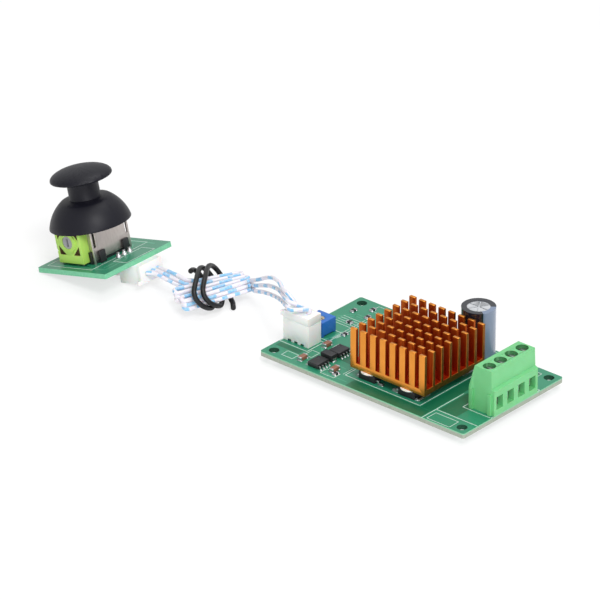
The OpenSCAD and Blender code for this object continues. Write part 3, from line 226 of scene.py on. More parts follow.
finish_material(white_vinyl, add_node(white_vinyl, "ShaderNodeBsdfPrincipled", {
    "Base Color": vinyl_colour.outputs[2], "Roughness": vinyl_rough.outputs[0],
    "Normal": relief.outputs[0], "IOR": 1.53, "Subsurface Weight": 0.1,
    "Subsurface Scale": 0.0006}))


def hank_way(run):
    """The way along a run of the hank."""
    turned = FAN * (MIDDLE_RUN - run)
    return math.cos(turned) * HANK_ALONG + math.sin(turned) * HANK_DOWN


def hank_side(run):
    """The way across the ribbon's flat in a run."""
    turned = FAN * (MIDDLE_RUN - run)
    return math.cos(turned) * HANK_DOWN - math.sin(turned) * HANK_ALONG


def hank_point(run, distance):
    """A point on a run's middle line, at a distance from the hank's middle."""
    return (HANK_MIDDLE + FAN_POINT * HANK_ALONG + (distance - FAN_POINT) * hank_way(run)
            + (run - MIDDLE_RUN) * (LAYER * HANK_OUT + DROOP * HANK_DOWN))


plug_exit = Vector((-0.0962938, -0.0077, 0.003086))
lead_route = [plug_exit, plug_exit + 0.002 * PLUG_OUT, Vector((-0.0924, -0.0081, 0.0039)),
              Vector((-0.0886, -0.0086, 0.0041)), Vector((-0.0849, -0.0088, 0.0041)),
              Vector((-0.0814, -0.0086, 0.0038)), hank_point(0, LEAD_END)]
ribbon_path = smooth_curve(lead_route, CURVE_STEPS)
ribbon_sides, ribbon_spread = [], []
# The lead turns from lying flat at the plug to the hank's slant, and its three wires close
# up from the plug's contact pitch.
for i, p in enumerate(ribbon_path):
    way = (ribbon_path[min(i + 1, len(ribbon_path) - 1)]
           - ribbon_path[max(i - 1, 0)]).normalized()
    turned = max(0.0, min(1.0, (i - LEVEL_STEPS)
                          / (len(ribbon_path) - LEVEL_STEPS - SLANTED_STEPS)))
    side = ((1 - turned) * Vector((way.y, -way.x, 0)).normalized() + turned * hank_side(0))
    ribbon_sides.append((side - way * side.dot(way)).normalized())
    ribbon_spread.append(1 + (CONTACT_PITCH / WIRE - 1) * max(0, 1 - i / CLOSING_STEPS))
for run in range(RUNS):
    s = 1 if run % 2 == 0 else -1
    start = LEAD_END if run == 0 else -s * HALF_RUN
    end = s * LAST_END if run == RUNS - 1 else s * HALF_RUN
    stations = [(run, start + (end - start) * k / RUN_STEPS)
                for k in range(0 if run else 1, RUN_STEPS + 1)]
    if run < RUNS - 1:
        stations += [(run + (1 - math.cos(math.pi * k / FOLD_STEPS)) / 2,
                      s * (HALF_RUN + LAYER / 2 * math.sin(math.pi * k / FOLD_STEPS)))
                     for k in range(1, FOLD_STEPS)]
    ribbon_path += [hank_point(*q) for q in stations]
    ribbon_sides += [hank_side(q[0]) for q in stations]
    ribbon_spread += [1] * len(stations)
bm = bmesh.new()
for k in (-1, 0, 1):
    strand = [p + k * WIRE * w * ribbon_sides[i]
              for i, (p, w) in enumerate(zip(ribbon_path, ribbon_spread))]
    tube(bm, strand, ribbon_sides, WIRE / 2, WIRE_SIDES, strand=1 - k,
         ends=(PLUG_OUT, hank_way(RUNS - 1)))
ribbon = mesh_piece("ribbon_cable", bm, white_vinyl)
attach(ribbon, "boards")
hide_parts("ribbon_lead", "ribbon_hank")

# Three single wires
# The ribbon's wires pulled apart past the hank, so that each can bend down into its own
# crimp contact in the driver board's plug.
WIRE_STRAIGHT = 0.0014
WIRE_APART = 0.00135
MIDDLE_CONTACT = (-0.0339, -0.0098, 0.0113)
# The middle wire's route in millimetres, and how far the outer two lie from it at each point.
wire_route = [(-64.1, 3.2, 4.6), (-60, 1.7, 6.6), (-55.8, -0.1, 8.6), (-51, -2.5, 10.5),
              (-45.9, -5.8, 12.2), (-41, -9.7, 13.5), (-36.8, -12, 14.2)]
wire_spread = [(0.7, -0.8, -1.3), (0.9, -0.8, -1.6), (1.3, -0.9, -2), (1.7, -1.2, -2.2),
               (2, -1.6, -1.9), (2.2, -1.9, -1.2), (2.2, -1.9, -1.1)]
for k in (-1, 0, 1):
    away = hank_point(RUNS - 1, LAST_END) + k * WIRE_APART * hank_side(RUNS - 1)
    into = Vector((MIDDLE_CONTACT[0] + k * CONTACT_PITCH, *MIDDLE_CONTACT[1:]))
    route = ([away, away + WIRE_STRAIGHT * hank_way(RUNS - 1)]
             + [(Vector(p) + k * Vector(q)) / 1000 for p, q in zip(wire_route, wire_spread)]
             + [into + Vector((0, 0, WIRE_STRAIGHT)), into])
    path = smooth_curve(route, CURVE_STEPS)
    bm = bmesh.new()
    tube(bm, path, [hank_side(RUNS - 1)], WIRE / 2, WIRE_SIDES, strand=1 - k,
         ends=(hank_way(RUNS - 1), Vector((0, 0, -1))))
    wire = mesh_piece("single_wire_%d" % (k + 2), bm, white_vinyl)
    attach(wire, "boards")
    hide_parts("wire_%d" % (k + 2))

# Twist tie
# Steel wire in black vinyl, wrapped twice round the hank, with its two ends bent off beside
# it. The vinyl is matt, with a faint drag pattern from its die.
TIE_RADIUS = 0.0008
TIE_WIDE = 0.00505
TIE_HIGH = 0.00605
TIE_SQUARENESS = 0.7
TIE_START = math.radians(195)
TIE_TURN_STEPS = 24
TIE_STEPS = 60
TIE_CURVE_STEPS = 3
TIE_SIDES = 12
# A turn moves the tie on by its pitch. Its front lies further back along the hank than its
# rear, its foot further on than its top, and its front bulges.
TIE_PITCH = 0.003
TIE_PLACE = -0.0005
TIE_SKEW = 0.0042
TIE_SLANT = 0.002
TIE_BULGE = 0.0025
TIE_LEAN = 0.45
TIE_TAIL = ((2.2, -1.6, 0), (4.4, -3.8, -0.2))


def mottled(material, dark, light, across, detail=3.0):
    """Two tones of a colour, in blotches this many millimetres across: the colour and the
    blotches themselves."""
    spot = add_node(material, "ShaderNodeTexCoord", {})
    blotches = add_node(material, "ShaderNodeTexNoise", {
        "Vector": spot.outputs["Object"], "Scale": 1000 / across, "Detail": detail})
    tone = add_node(material, "ShaderNodeMix", {
        0: blotches.outputs[0], 6: linear(dark), 7: linear(light)}, data_type="RGBA")
    return tone.outputs[2], blotches.outputs[0]


black_vinyl = new_material("extruded_black_vinyl")
tone, drag = mottled(black_vinyl, "#08080a", "#151517", 0.625)
relief = add_node(black_vinyl, "ShaderNodeBump", {"Strength": 0.2, "Distance": 0.00005,
                                                   "Height": drag})
finish_material(black_vinyl, add_node(black_vinyl, "ShaderNodeBsdfPrincipled", {
    "Base Color": tone, "Roughness": 0.42, "Normal": relief.outputs[0],
    "IOR": 1.53, "Specular IOR Level": 0.35}))
tie_path = []
for i in range(TIE_STEPS):
    a = TIE_START + math.tau * i / TIE_TURN_STEPS
    x = TIE_WIDE * math.copysign(abs(math.cos(a)) ** TIE_SQUARENESS, math.cos(a))
    y = TIE_HIGH * math.copysign(abs(math.sin(a)) ** TIE_SQUARENESS, math.sin(a))
    bulge = max(0.0, y / TIE_HIGH) * (1 - (x / TIE_WIDE) ** 2)
    away = (TIE_PLACE + (i - TIE_STEPS / 2) / TIE_TURN_STEPS * TIE_PITCH
            - TIE_SKEW * y / TIE_HIGH + TIE_SLANT * x / TIE_WIDE - TIE_BULGE * bulge)
    tie_path.append(HANK_MIDDLE + away * HANK_ALONG + y * HANK_OUT
                    + (x + TIE_LEAN * y - DROOP) * HANK_DOWN)
tie_path += [tie_path[-1] + Vector(q) / 1000 for q in TIE_TAIL]
bm = bmesh.new()
tube(bm, smooth_curve(tie_path, TIE_CURVE_STEPS), [Vector((0, 0, 1))], TIE_RADIUS, TIE_SIDES)
tie = mesh_piece("black_twist_tie", bm, black_vinyl)
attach(tie, "boards")
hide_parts("twist_tie")

# Driver board
# Glass-fibre laminate under glossy green solder mask, routed out with rounded corners and
# drilled at each corner for a screw.
BOARD_TOP = 0.0016
# An upright face nearer the middle than this is a drilled hole's wall.
INSIDE_X = 0.0385
INSIDE_Y = 0.0225
# The painted highlight along the top of the cut edge fades in between these heights.
EDGE_HIGHLIGHT_LOW = 0.0011
EDGE_HIGHLIGHT_HIGH = 0.0014


def solid_copy(node, name, materials, round_edge=0.0, flat=True, crease=35):
    """A copy of a CAD node as one merged solid, with its hard edges rounded a little."""
    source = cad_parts[node]
    piece = source.copy()
    piece.data = source.data.copy()
    piece.parent = None
    piece.name = name
    piece.data.name = name
    bpy.context.collection.objects.link(piece)
    bpy.ops.object.select_all(action="DESELECT")
    piece.select_set(True)
    bpy.context.view_layer.objects.active = piece
    bpy.ops.object.mode_set(mode="EDIT")
    bpy.ops.mesh.select_all(action="SELECT")
    bpy.ops.mesh.remove_doubles(threshold=0.000002)
    if flat:
        bpy.ops.mesh.dissolve_limited(angle_limit=math.radians(0.5))
    bpy.ops.object.mode_set(mode="OBJECT")
    if round_edge:
        bevel = piece.modifiers.new("rounded_edges", "BEVEL")
        bevel.width = round_edge
        bevel.segments = 2
        bevel.limit_method = "ANGLE"
        bevel.angle_limit = math.radians(40)
        bevel.miter_outer = "MITER_ARC"
        bpy.ops.object.modifier_apply(modifier=bevel.name)
    bpy.ops.object.shade_smooth_by_angle(angle=math.radians(crease))
    piece.data.materials.clear()
    for m in materials:
        piece.data.materials.append(m)
    for face in piece.data.polygons:
        face.material_index = 0
    return piece


def stand_for(piece, body, slot, *nodes):
    """Makes the piece ride on its body, in place of its CAD nodes if it has any."""
    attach(piece, body)
    if nodes:
        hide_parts(*nodes)


def green_mask(name, dark, light, patch):
    """Solder mask: glossy epoxy ink whose thickness drifts across the board, in patches this
    many millimetres across."""
    mask = new_material(name)
    tone, _ = mottled(mask, dark, light, patch, 4.0)
    # The glass weave under the ink repeats about every 0.4 mm.
    spot = add_node(mask, "ShaderNodeTexCoord", {})
    weave = add_node(mask, "ShaderNodeTexNoise", {"Vector": spot.outputs["Object"],
                                                   "Scale": 1000 / 0.4, "Detail": 2.0})
    relief = add_node(mask, "ShaderNodeBump", {"Strength": 0.06, "Distance": 0.00003,
                                                "Height": weave.outputs[0]})
    finish_material(mask, add_node(mask, "ShaderNodeBsdfPrincipled", {
        "Base Color": tone, "Roughness": 0.36, "Normal": relief.outputs[0],
        "Coat Weight": 0.2, "Coat Roughness": 0.2}))
    return mask


# Over bare laminate the mask looks pale, because light comes back through it.
mask_on_laminate = green_mask("green_solder_mask_on_laminate", "#1f7a58", "#2f9472", 16.7)
# Routed glass fibre is dull and grey-green, with its plies just showing.
cut_laminate = new_material("routed_glass_fibre_edge")
glass, _ = mottled(cut_laminate, "#8b9486", "#b0b7a9", 0.667)
spot = add_node(cut_laminate, "ShaderNodeTexCoord", {})
heights = add_node(cut_laminate, "ShaderNodeSeparateXYZ", {0: spot.outputs["Object"]})
# Bare glass shows grey on the cut edge, and its top is a painted highlight in pale green
# along the board's top corner.
lit_top_edge = add_node(cut_laminate, "ShaderNodeMapRange", {
    "Value": heights.outputs["Z"], 1: EDGE_HIGHLIGHT_LOW, 2: EDGE_HIGHLIGHT_HIGH})
tone = add_node(cut_laminate, "ShaderNodeMix", {0: lit_top_edge.outputs[0], 6: glass,
                                                 7: linear("#86c49f")}, data_type="RGBA")
finish_material(cut_laminate, add_node(cut_laminate, "ShaderNodeBsdfPrincipled", {
    "Base Color": tone.outputs[2], "Roughness": 0.75}))
# A drilled hole's wall is painted dark green as painted shade, since little light gets in,
# and mask has run down it too.
drilled_wall = new_material("mask_stained_drilled_laminate_in_painted_shade")
tone, _ = mottled(drilled_wall, "#12402e", "#1f5c44", 0.5)
finish_material(drilled_wall, add_node(drilled_wall, "ShaderNodeBsdfPrincipled", {
    "Base Color": tone, "Roughness": 0.8}))
driver_board = solid_copy("driver_board", "driver_laminate",
                          [mask_on_laminate, cut_laminate, drilled_wall])
for face in driver_board.data.polygons:
    if abs(face.normal.z) < 0.5:
        inside = abs(face.center.x) < INSIDE_X and abs(face.center.y) < INSIDE_Y
        face.material_index = 2 if inside else 1
stand_for(driver_board, "boards", "board", "driver_board")

# Copper under the mask
# Wide poured areas carry the motor's current and thin traces the signals. Both are etched
# foil, and the mask over them stands a little proud of the board.
COPPER_FOOT = 1.59
POUR_TOP = 1.612
TRACE_TOP = 1.622


def strips(name, material, runs, low, high):
    """Thin flat strips as (x, y, x, y, width) in millimetres, all in one piece. Each runs on
    by nearly its own width, so that bent runs close at their corners."""
    for k, (x0, y0, x1, y1, width) in enumerate(runs):
        reach = math.hypot(x1 - x0, y1 - y0)
        bpy.ops.mesh.primitive_cube_add(
            size=0.001, location=((x0 + x1) / 2000, (y0 + y1) / 2000, (low + high) / 2000),
            rotation=(0, 0, math.atan2(y1 - y0, x1 - x0)),
            scale=(reach + width * 0.98, width, high - low))
        if k == 0:
            made = bpy.context.object
            bpy.ops.object.transform_apply(location=True, rotation=True, scale=True)
            bpy.ops.object.mode_set(mode="EDIT")
    bpy.ops.object.mode_set(mode="OBJECT")
    made.name = made.data.name = name
    made.data.materials.append(material)
    return made


def pour(x0, x1, y0, y1):
    """A filled rectangle of copper, for strips."""
    if x1 - x0 > y1 - y0:
        wide = y1 - y0
        return [(x0 + wide / 2, (y0 + y1) / 2, x1 - wide / 2, (y0 + y1) / 2, wide)]
    wide = x1 - x0
    return [((x0 + x1) / 2, y0 + wide / 2, (x0 + x1) / 2, y1 - wide / 2, wide)]


def run_through(width, *points):
    """A bent trace through the points, for strips."""
    return [(a[0], a[1], b[0], b[1], width) for a, b in zip(points, points[1:])]


# Over wide copper the mask looks dark, and along a trace's rounded edges it catches light.
mask_on_copper = green_mask("green_solder_mask_on_poured_copper", "#0c5f40", "#14704d", 11.1)
mask_on_traces = green_mask("green_solder_mask_on_traces", "#3a9672", "#55ae8a", 11.1)
poured = (pour(-6, 23, -22.8, -18.5) + pour(19, 23, -18.4, 8) + pour(24.1, 30.8, -16.2, -3)
          + pour(-19, -11.5, -12, 2) + pour(22, 33, 13.5, 20.5) + pour(-24, -12, 9, 22)
          + pour(-38, -29, -17, -14.8))
copper_areas = strips("poured_copper_under_mask", mask_on_copper, poured, COPPER_FOOT,
                      POUR_TOP)
stand_for(copper_areas, "boards", "board")
traces = (
    run_through(0.4, (-36.4, -6.5), (-36.4, -1), (-35.8, 4.5), (-31, 9.5), (-24.4, 9.5))
    + run_through(0.4, (-33.9, -6.5), (-33.9, -4.6))
    + run_through(0.4, (-31.4, -6.5), (-28.5, -3.6), (-28.5, 3), (-25, 6.5), (-13, 6.5))
    + run_through(0.3, (-36.6, 6), (-32, 12.4), (-24.4, 12.4))
    + run_through(0.3, (-36.6, 8), (-32.6, 13.6), (-24.4, 13.6))
    + run_through(0.3, (-30, 16), (-26, 20), (-24.4, 20))
    + run_through(0.3, (-27, -9), (-23, -13), (-19, -15), (-12.5, -15))
    + run_through(0.3, (-24, -4.5), (-20, -8.5), (-19.4, -8.5))
    + run_through(0.3, (-33, -18), (-22, -18), (-18, -21), (-7, -21)))
copper_runs = strips("copper_traces_under_mask", mask_on_traces, traces, COPPER_FOOT,
                     TRACE_TOP)
stand_for(copper_runs, "boards", "board")

# Printed outlines
# White epoxy ink screened over the mask, as a box or a line beside each part's place. It
# stands a few hundredths of a millimetre proud.
INK_FOOT = 1.595
INK_TOP = 1.632


def outline(x0, x1, y0, y1, width=0.2):
    """The four sides of a printed box, for strips."""
    return [(x0, y0, x1, y0, width), (x1, y0, x1, y1, width), (x1, y1, x0, y1, width),
            (x0, y1, x0, y0, width)]


printed_ink = new_material("screen_printed_white_ink")
# The squeegee leaves thin places in the ink about half a millimetre long, where green shows.
tone, _ = mottled(printed_ink, "#b9d6c8", "#f3f6f3", 0.5)
finish_material(printed_ink, add_node(printed_ink, "ShaderNodeBsdfPrincipled", {
    "Base Color": tone, "Roughness": 0.6}))
ink = (outline(-10, 18.5, -18, 12) + outline(-38.8, -28.1, -14.3, -5.2)
       + outline(-38.8, -27.5, -6.6, 1.4) + outline(28.4, 38.8, -10.4, 12.2)
       + run_through(0.2, (23.5, -4), (23.5, -23.2))
       + run_through(0.2, (23.5, -16.6), (38.8, -16.6))
       + run_through(0.2, (18.5, 12), (22.5, 12), (22.5, 22), (5, 22))
       + outline(-27.4, -24.6, -16.3, -12.6, 0.15) + outline(-32.6, -28.4, -20.6, -17.6, 0.15)
       + outline(-16.6, -11.4, -21.6, -18.6, 0.15) + outline(-24, -20.6, -7.4, -4.6, 0.15)
       + [(-35, 5.6 + 1.2 * k, -28.4 + k, 5.6 + 1.2 * k, 0.14) for k in range(5)]
       + run_through(0.14, (-28, 12), (-28, -3)) + run_through(0.14, (-27, 12), (-27, -2))
       + run_through(0.14, (-10.8, -18), (-10.8, 12)) + outline(-30.6, -26.4, 18, 21.6, 0.14)
       + outline(-25.6, -20.4, 14.4, 18.4, 0.15) + outline(-16.4, -11.2, 12.4, 15.6, 0.15)
       + outline(24.8, 33.2, -22.4, -18.2, 0.15) + outline(27.6, 33, 15.8, 20.4, 0.15))
ink_lines = strips("printed_part_outlines", printed_ink, ink, INK_FOOT, INK_TOP)
stand_for(ink_lines, "boards", "board")

# Joystick board
# The same laminate and mask on a smaller board, which leans on the foot of its plug. Its
# copper and its outlines lean with it.
JOYSTICK_UP = Vector((-math.sin(JOYSTICK_LEAN), 0, math.cos(JOYSTICK_LEAN)))
JOYSTICK_PLACE = (-0.1141655, -0.0094, 0.0015700)
# Mask sprayed over the cut edge leaves it pale green and dull.
green_edge = new_material("mask_covered_laminate_edge")
tone, _ = mottled(green_edge, "#5fb58a", "#86cfa8", 0.667)
finish_material(green_edge, add_node(green_edge, "ShaderNodeBsdfPrincipled", {
    "Base Color": tone, "Roughness": 0.6}))
joystick_board = solid_copy("joystick_board", "joystick_laminate",
                            [mask_on_laminate, green_edge])
for face in joystick_board.data.polygons:
    if abs(face.normal.dot(JOYSTICK_UP)) < 0.5:
        face.material_index = 1
stand_for(joystick_board, "boards", "board", "joystick_board")
on_joystick_board = (Matrix.Translation(JOYSTICK_PLACE)
                     @ Matrix.Rotation(-JOYSTICK_LEAN, 4, "Y"))
joystick_traces = (
    run_through(0.5, (7, 4.2), (3.5, 9.5), (-9.5, 9.5))
    + run_through(0.5, (7, 1.7), (8.8, 1.7), (11.5, -2), (11.5, -11.5), (-8, -11.5))
    + run_through(0.5, (7, -0.8), (9.6, -3.4), (9.6, -9.8))
    + run_through(0.8, (-12.6, 12), (10, 12)))
joystick_ink = outline(-12.4, 6.6, -12.6, 12.4) + outline(8.4, 14, -4.6, 8)
for name, material, runs, low, high in (
        ("joystick_copper_traces", mask_on_traces, joystick_traces, COPPER_FOOT, TRACE_TOP),
        ("joystick_printed_outlines", printed_ink, joystick_ink, INK_FOOT, INK_TOP)):
    leaning = strips(name, material, runs, low, high)
    leaning.data.transform(on_joystick_board)
    stand_for(leaning, "boards", "board")

# Power transistors, driver chips, diode and resistors
# Black epoxy moulded round the silicon and soldered down by its leads. The epoxy's glass
# filler makes it matt. Its grains are under 0.1 mm, drawn at 0.29 mm so that they show.
black_epoxy = new_material("moulded_black_epoxy")
tone, filler = mottled(black_epoxy, "#101013", "#26262a", 0.286, 4.0)
relief = add_node(black_epoxy, "ShaderNodeBump", {"Strength": 0.25, "Distance": 0.00004,
                                                   "Height": filler})
finish_material(black_epoxy, add_node(black_epoxy, "ShaderNodeBsdfPrincipled", {
    "Base Color": tone, "Roughness": 0.5, "Normal": relief.outputs[0]}))
for node, name, edge in (("power_transistors", "transistor_bodies", 0.00015),
                         ("chip_bodies", "driver_chip_bodies", 0.0001),
                         ("diode", "diode_body", 0.00012),
                         ("resistors", "resistor_bodies", 0.00004)):
    stand_for(solid_copy(node, name, [black_epoxy], edge), "boards", "epoxy", node)

# Leads, tabs, end caps, pins and contacts
# Brass and copper under bright tin. Tin is soft, so the flat faces are slightly clouded
# and the soldered ends are smoother and brighter.
bright_tin = new_material("bright_tin_on_brass")
tone, cloud = mottled(bright_tin, "#a9acb0", "#dcdddd", 1.43, 4.0)
satin = add_node(bright_tin, "ShaderNodeMapRange", {"Value": cloud, 3: 0.16, 4: 0.4})
finish_material(bright_tin, add_node(bright_tin, "ShaderNodeBsdfPrincipled", {
    "Base Color": tone, "Metallic": 1.0, "Roughness": satin.outputs[0]}))
for node, name, edge in (("transistor_tabs", "transistor_tabs_and_leads", 0.00006),
                         ("chip_leads", "driver_chip_leads", 0.00003),
                         ("diode_ends", "diode_end_straps", 0.00004),
                         ("end_caps", "fired_end_caps", 0.00006),
                         ("trimmer_pins", "trimmer_legs", 0.0),
                         ("capacitor_leads", "capacitor_legs", 0.0),
                         ("header_pins", "upright_header_pins", 0.00004),
                         ("driver_contacts", "driver_crimp_contacts", 0.00004),
                         ("terminal_contacts", "terminal_bars", 0.00004),
                         ("side_header_pins", "side_header_legs", 0.00004),
                         ("joystick_contacts", "joystick_crimp_contacts", 0.00004),
                         ("joystick_pot_pins", "potentiometer_legs", 0.0)):
    stand_for(solid_copy(node, name, [bright_tin], edge), "boards", "tinned", node)

# Solder at each foot
# Tin solder printed under every foot of the small parts and melted in an oven. It wets the
# foot and its pad, and sets in a sloping fillet round them.


def feet(node, height):
    """Each separate foot of a CAD node as its least and greatest corner near the board, from
    left to right."""
    bm = bmesh.new()
    bm.from_mesh(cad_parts[node].data)
    bmesh.ops.remove_doubles(bm, verts=bm.verts, dist=0.000002)
    left, found = set(bm.verts), []
    while left:
        group, edge = set(), [left.pop()]
        while edge:
            v = edge.pop()
            group.add(v)
            near = {e.other_vert(v) for e in v.link_edges} & left
            left -= near
            edge += near
        low = [v.co for v in group if v.co.z < height]
        if low:
            found.append((min(c.x for c in low), min(c.y for c in low),
                          max(c.x for c in low), max(c.y for c in low)))
    bm.free()
    return sorted(found)


# Reflowed solder is brighter than tin plate and slightly frosted.
reflowed_solder = new_material("reflowed_tin_solder")
tone, _ = mottled(reflowed_solder, "#a3a7ab", "#d3d6d8", 0.91)
finish_material(reflowed_solder, add_node(reflowed_solder, "ShaderNodeBsdfPrincipled", {
    "Base Color": tone, "Metallic": 1.0, "Roughness": 0.28}))
bpy.ops.object.select_all(action="DESELECT")
bpy.ops.mesh.primitive_plane_add(size=0.0001, location=(0, 0, BOARD_TOP + 0.00005))
joints = bpy.context.object
joints.name = joints.data.name = "soldered_joints"
bpy.ops.object.transform_apply(location=True)
bpy.ops.object.mode_set(mode="EDIT")
bpy.ops.mesh.delete(type="VERT")
# Each fillet rises from a foot spread past the lead, through a narrower waist, to the lead.
FOOT_HEIGHT = 0.0003
PATCH = 0.001
WAIST = 0.45
WAIST_RISE = 0.35
for node, height, spread in (("end_caps", 0.0003, 0.00018), ("chip_leads", 0.00012, 0.00014),
                             ("transistor_tabs", 0.0002, 0.0002),
                             ("diode_ends", 0.0003, 0.00025)):
    for x0, y0, x1, y1 in feet(node, BOARD_TOP + FOOT_HEIGHT):
        wide, deep = x1 - x0, y1 - y0
        bpy.ops.mesh.select_all(action="DESELECT")
        bpy.ops.mesh.primitive_plane_add(size=PATCH,
                                         location=((x0 + x1) / 2, (y0 + y1) / 2, BOARD_TOP))
        bpy.ops.transform.resize(value=((wide + 2 * spread) / PATCH,
                                        (deep + 2 * spread) / PATCH, 1))
        was = 1.0
        for rise, part in ((WAIST_RISE, WAIST), (1 - WAIST_RISE, 0.0)):
            bpy.ops.mesh.extrude_region_move(
                TRANSFORM_OT_translate={"value": (0, 0, rise * height)})
            bpy.ops.transform.resize(value=(
                (wide + 2 * spread * part) / (wide + 2 * spread * was),
                (deep + 2 * spread * part) / (deep + 2 * spread * was), 1))
            was = part
bpy.ops.mesh.select_all(action="SELECT")
bpy.ops.mesh.normals_make_consistent(inside=False)
bpy.ops.object.mode_set(mode="OBJECT")
bpy.ops.object.shade_smooth()
joints.data.materials.append(reflowed_solder)
stand_for(joints, "boards", "tinned")

# Ceramic capacitors
# Blocks of fired barium titanate, soldered by their tinned ends. The fired surface is matt
# brown and slightly mottled.
fired_ceramic = new_material("fired_brown_ceramic")
tone, _ = mottled(fired_ceramic, "#77493a", "#a0735a", 0.556, 4.0)
finish_material(fired_ceramic, add_node(fired_ceramic, "ShaderNodeBsdfPrincipled", {
    "Base Color": tone, "Roughness": 0.55}))
stand_for(solid_copy("chip_capacitors", "ceramic_capacitors", [fired_ceramic], 0.00008),
          "boards", "ceramic_brown", "chip_capacitors")

# Glue under the heatsink
# White silicone spread over the transistors and squeezed out past them by the heatsink. It
# sets with a soft satin skin that lets a little light in.
cured_silicone = new_material("cured_white_silicone")
tone, skin = mottled(cured_silicone, "#dedad0", "#f6f4ee", 1.11)
relief = add_node(cured_silicone, "ShaderNodeBump", {"Strength": 0.3, "Distance": 0.0001,
                                                      "Height": skin})
finish_material(cured_silicone, add_node(cured_silicone, "ShaderNodeBsdfPrincipled", {
    "Base Color": tone, "Roughness": 0.45, "Normal": relief.outputs[0],
    "Subsurface Weight": 0.2, "Subsurface Scale": 0.0008}))
glue = solid_copy("glue_dots", "squeezed_glue", [cured_silicone], 0.00015)
stand_for(glue, "boards", "white_glue", "glue_dots")

# Heatsink
# Extruded aluminium fins, cross-cut into pins with a gang saw and then gold anodised. The
# dyed oxide stays metallic, with fine saw lines and slightly uneven colour.
# A face closer than this to the outside of a piece belongs to its outside.
SKIN = 0.0001
DARK_UP_TO = 0.0075
PALE_FROM = 0.0165
gold_anodised = new_material("gold_anodised_sawn_aluminium")
tone, _ = mottled(gold_anodised, "#cf8230", "#e69a46", 5.56, 4.0)
spot = add_node(gold_anodised, "ShaderNodeTexCoord", {})
# Saw lines lie about 0.15 mm apart, drawn at 0.6 mm so that they show. At a scale of 1 the
# node's bands are tau / 20 apart.
saw = add_node(gold_anodised, "ShaderNodeTexWave", {
    "Vector": spot.outputs["Object"], "Scale": math.tau / 20 * 1000 / 0.604,
    "Distortion": 3.0, "Detail": 3.0}, bands_direction="Z")
satin = add_node(gold_anodised, "ShaderNodeMapRange", {"Value": saw.outputs[1], 3: 0.3,
                                                        4: 0.42})
relief = add_node(gold_anodised, "ShaderNodeBump", {"Strength": 0.15, "Distance": 0.00003,
                                                     "Height": saw.outputs[1]})
finish_material(gold_anodised, add_node(gold_anodised, "ShaderNodeBsdfPrincipled", {
    "Base Color": tone, "Metallic": 1.0, "Roughness": satin.outputs[0],
    "Normal": relief.outputs[0]}))
cuts_in_painted_shade = new_material("gold_anodised_aluminium_in_painted_shade_in_the_cuts")
spot = add_node(cuts_in_painted_shade, "ShaderNodeTexCoord", {})
heights = add_node(cuts_in_painted_shade, "ShaderNodeSeparateXYZ", {0: spot.outputs["Object"]})
# The cuts are 11 mm deep, and each is painted darker and redder towards its floor, as painted
# shade.
pale = add_node(cuts_in_painted_shade, "ShaderNodeMapRange", {"Value": heights.outputs["Z"],
                                                   1: DARK_UP_TO, 2: PALE_FROM})
tone = add_node(cuts_in_painted_shade, "ShaderNodeMix", {0: pale.outputs[0], 6: linear("#b03a0f"),
                                              7: linear("#b6581e")}, data_type="RGBA")
finish_material(cuts_in_painted_shade, add_node(cuts_in_painted_shade, "ShaderNodeBsdfPrincipled", {
    "Base Color": tone.outputs[2], "Metallic": 1.0, "Roughness": 0.45}))
# The ends were sawn off with a coarser blade, so they are rougher. Their darker brown is
# painted shade.
sawn_end_in_painted_shade = new_material("gold_anodised_rough_sawn_aluminium_in_painted_shade")
tone, scores = mottled(sawn_end_in_painted_shade, "#6c4219", "#a06c30", 1.11, 4.0)
relief = add_node(sawn_end_in_painted_shade, "ShaderNodeBump", {"Strength": 0.3, "Distance": 0.00003,
                                                 "Height": scores})
finish_material(sawn_end_in_painted_shade, add_node(sawn_end_in_painted_shade, "ShaderNodeBsdfPrincipled", {
    "Base Color": tone, "Metallic": 1.0, "Roughness": 0.5, "Normal": relief.outputs[0]}))
# Faces inside the block are the cuts' walls and floors, in painted shade, and outer ones
# facing X are the sawn ends, painted darker as painted shade.
heatsink = solid_copy("heatsink", "pin_heatsink", [gold_anodised, cuts_in_painted_shade, sawn_end_in_painted_shade],
                      0.00008)
low, high = [Vector(f(v.co[k] for v in heatsink.data.vertices) for k in range(3))
             for f in (min, max)]
for face in heatsink.data.polygons:
    outer = min(abs(face.center.x - low.x), abs(face.center.x - high.x),
                abs(face.center.y - low.y), abs(face.center.y - high.y)) < SKIN
    if not outer and face.center.z < high.z - SKIN:
        face.material_index = 1
    elif abs(face.normal.x) > 0.7:
        face.material_index = 2
stand_for(heatsink, "boards", "gold_aluminium", "heatsink")

# Trimmer
# A case of blue glass-filled nylon moulded round three legs, and a turned brass screw that
# turns in its top.


def moulded(name, dark, light, rough, grain, bump=0.15, soft=0.0, shine=0.5):
    """A moulded plastic: a little uneven in colour, with the mould's spark-eroded grain on
    it, which gives it a low sheen. The real grain is under 0.1 mm wide, and is drawn at this
    many millimetres so that it shows."""
    made = new_material(name)
    shade, _ = mottled(made, dark, light, 8.33)
    where = add_node(made, "ShaderNodeTexCoord", {})
    spark = add_node(made, "ShaderNodeTexNoise", {"Vector": where.outputs["Object"],
                                                   "Scale": 1000 / grain, "Detail": 3.0})
    sheen = add_node(made, "ShaderNodeMapRange", {"Value": spark.outputs[0],
                                                   3: rough - 0.06, 4: rough + 0.08})
    bumps = add_node(made, "ShaderNodeBump", {"Strength": bump, "Distance": 0.00004,
                                               "Height": spark.outputs[0]})
    finish_material(made, add_node(made, "ShaderNodeBsdfPrincipled", {
        "Base Color": shade, "Roughness": sheen.outputs[0],
        "Normal": bumps.outputs[0], "Specular IOR Level": shine,
        "Subsurface Weight": soft, "Subsurface Scale": 0.001}))
    return made


# Glass fibre near its surface keeps the nylon satin.
blue_nylon = moulded("moulded_blue_glass_filled_nylon", "#1a5cb0", "#2b74c9", 0.4, 0.455)
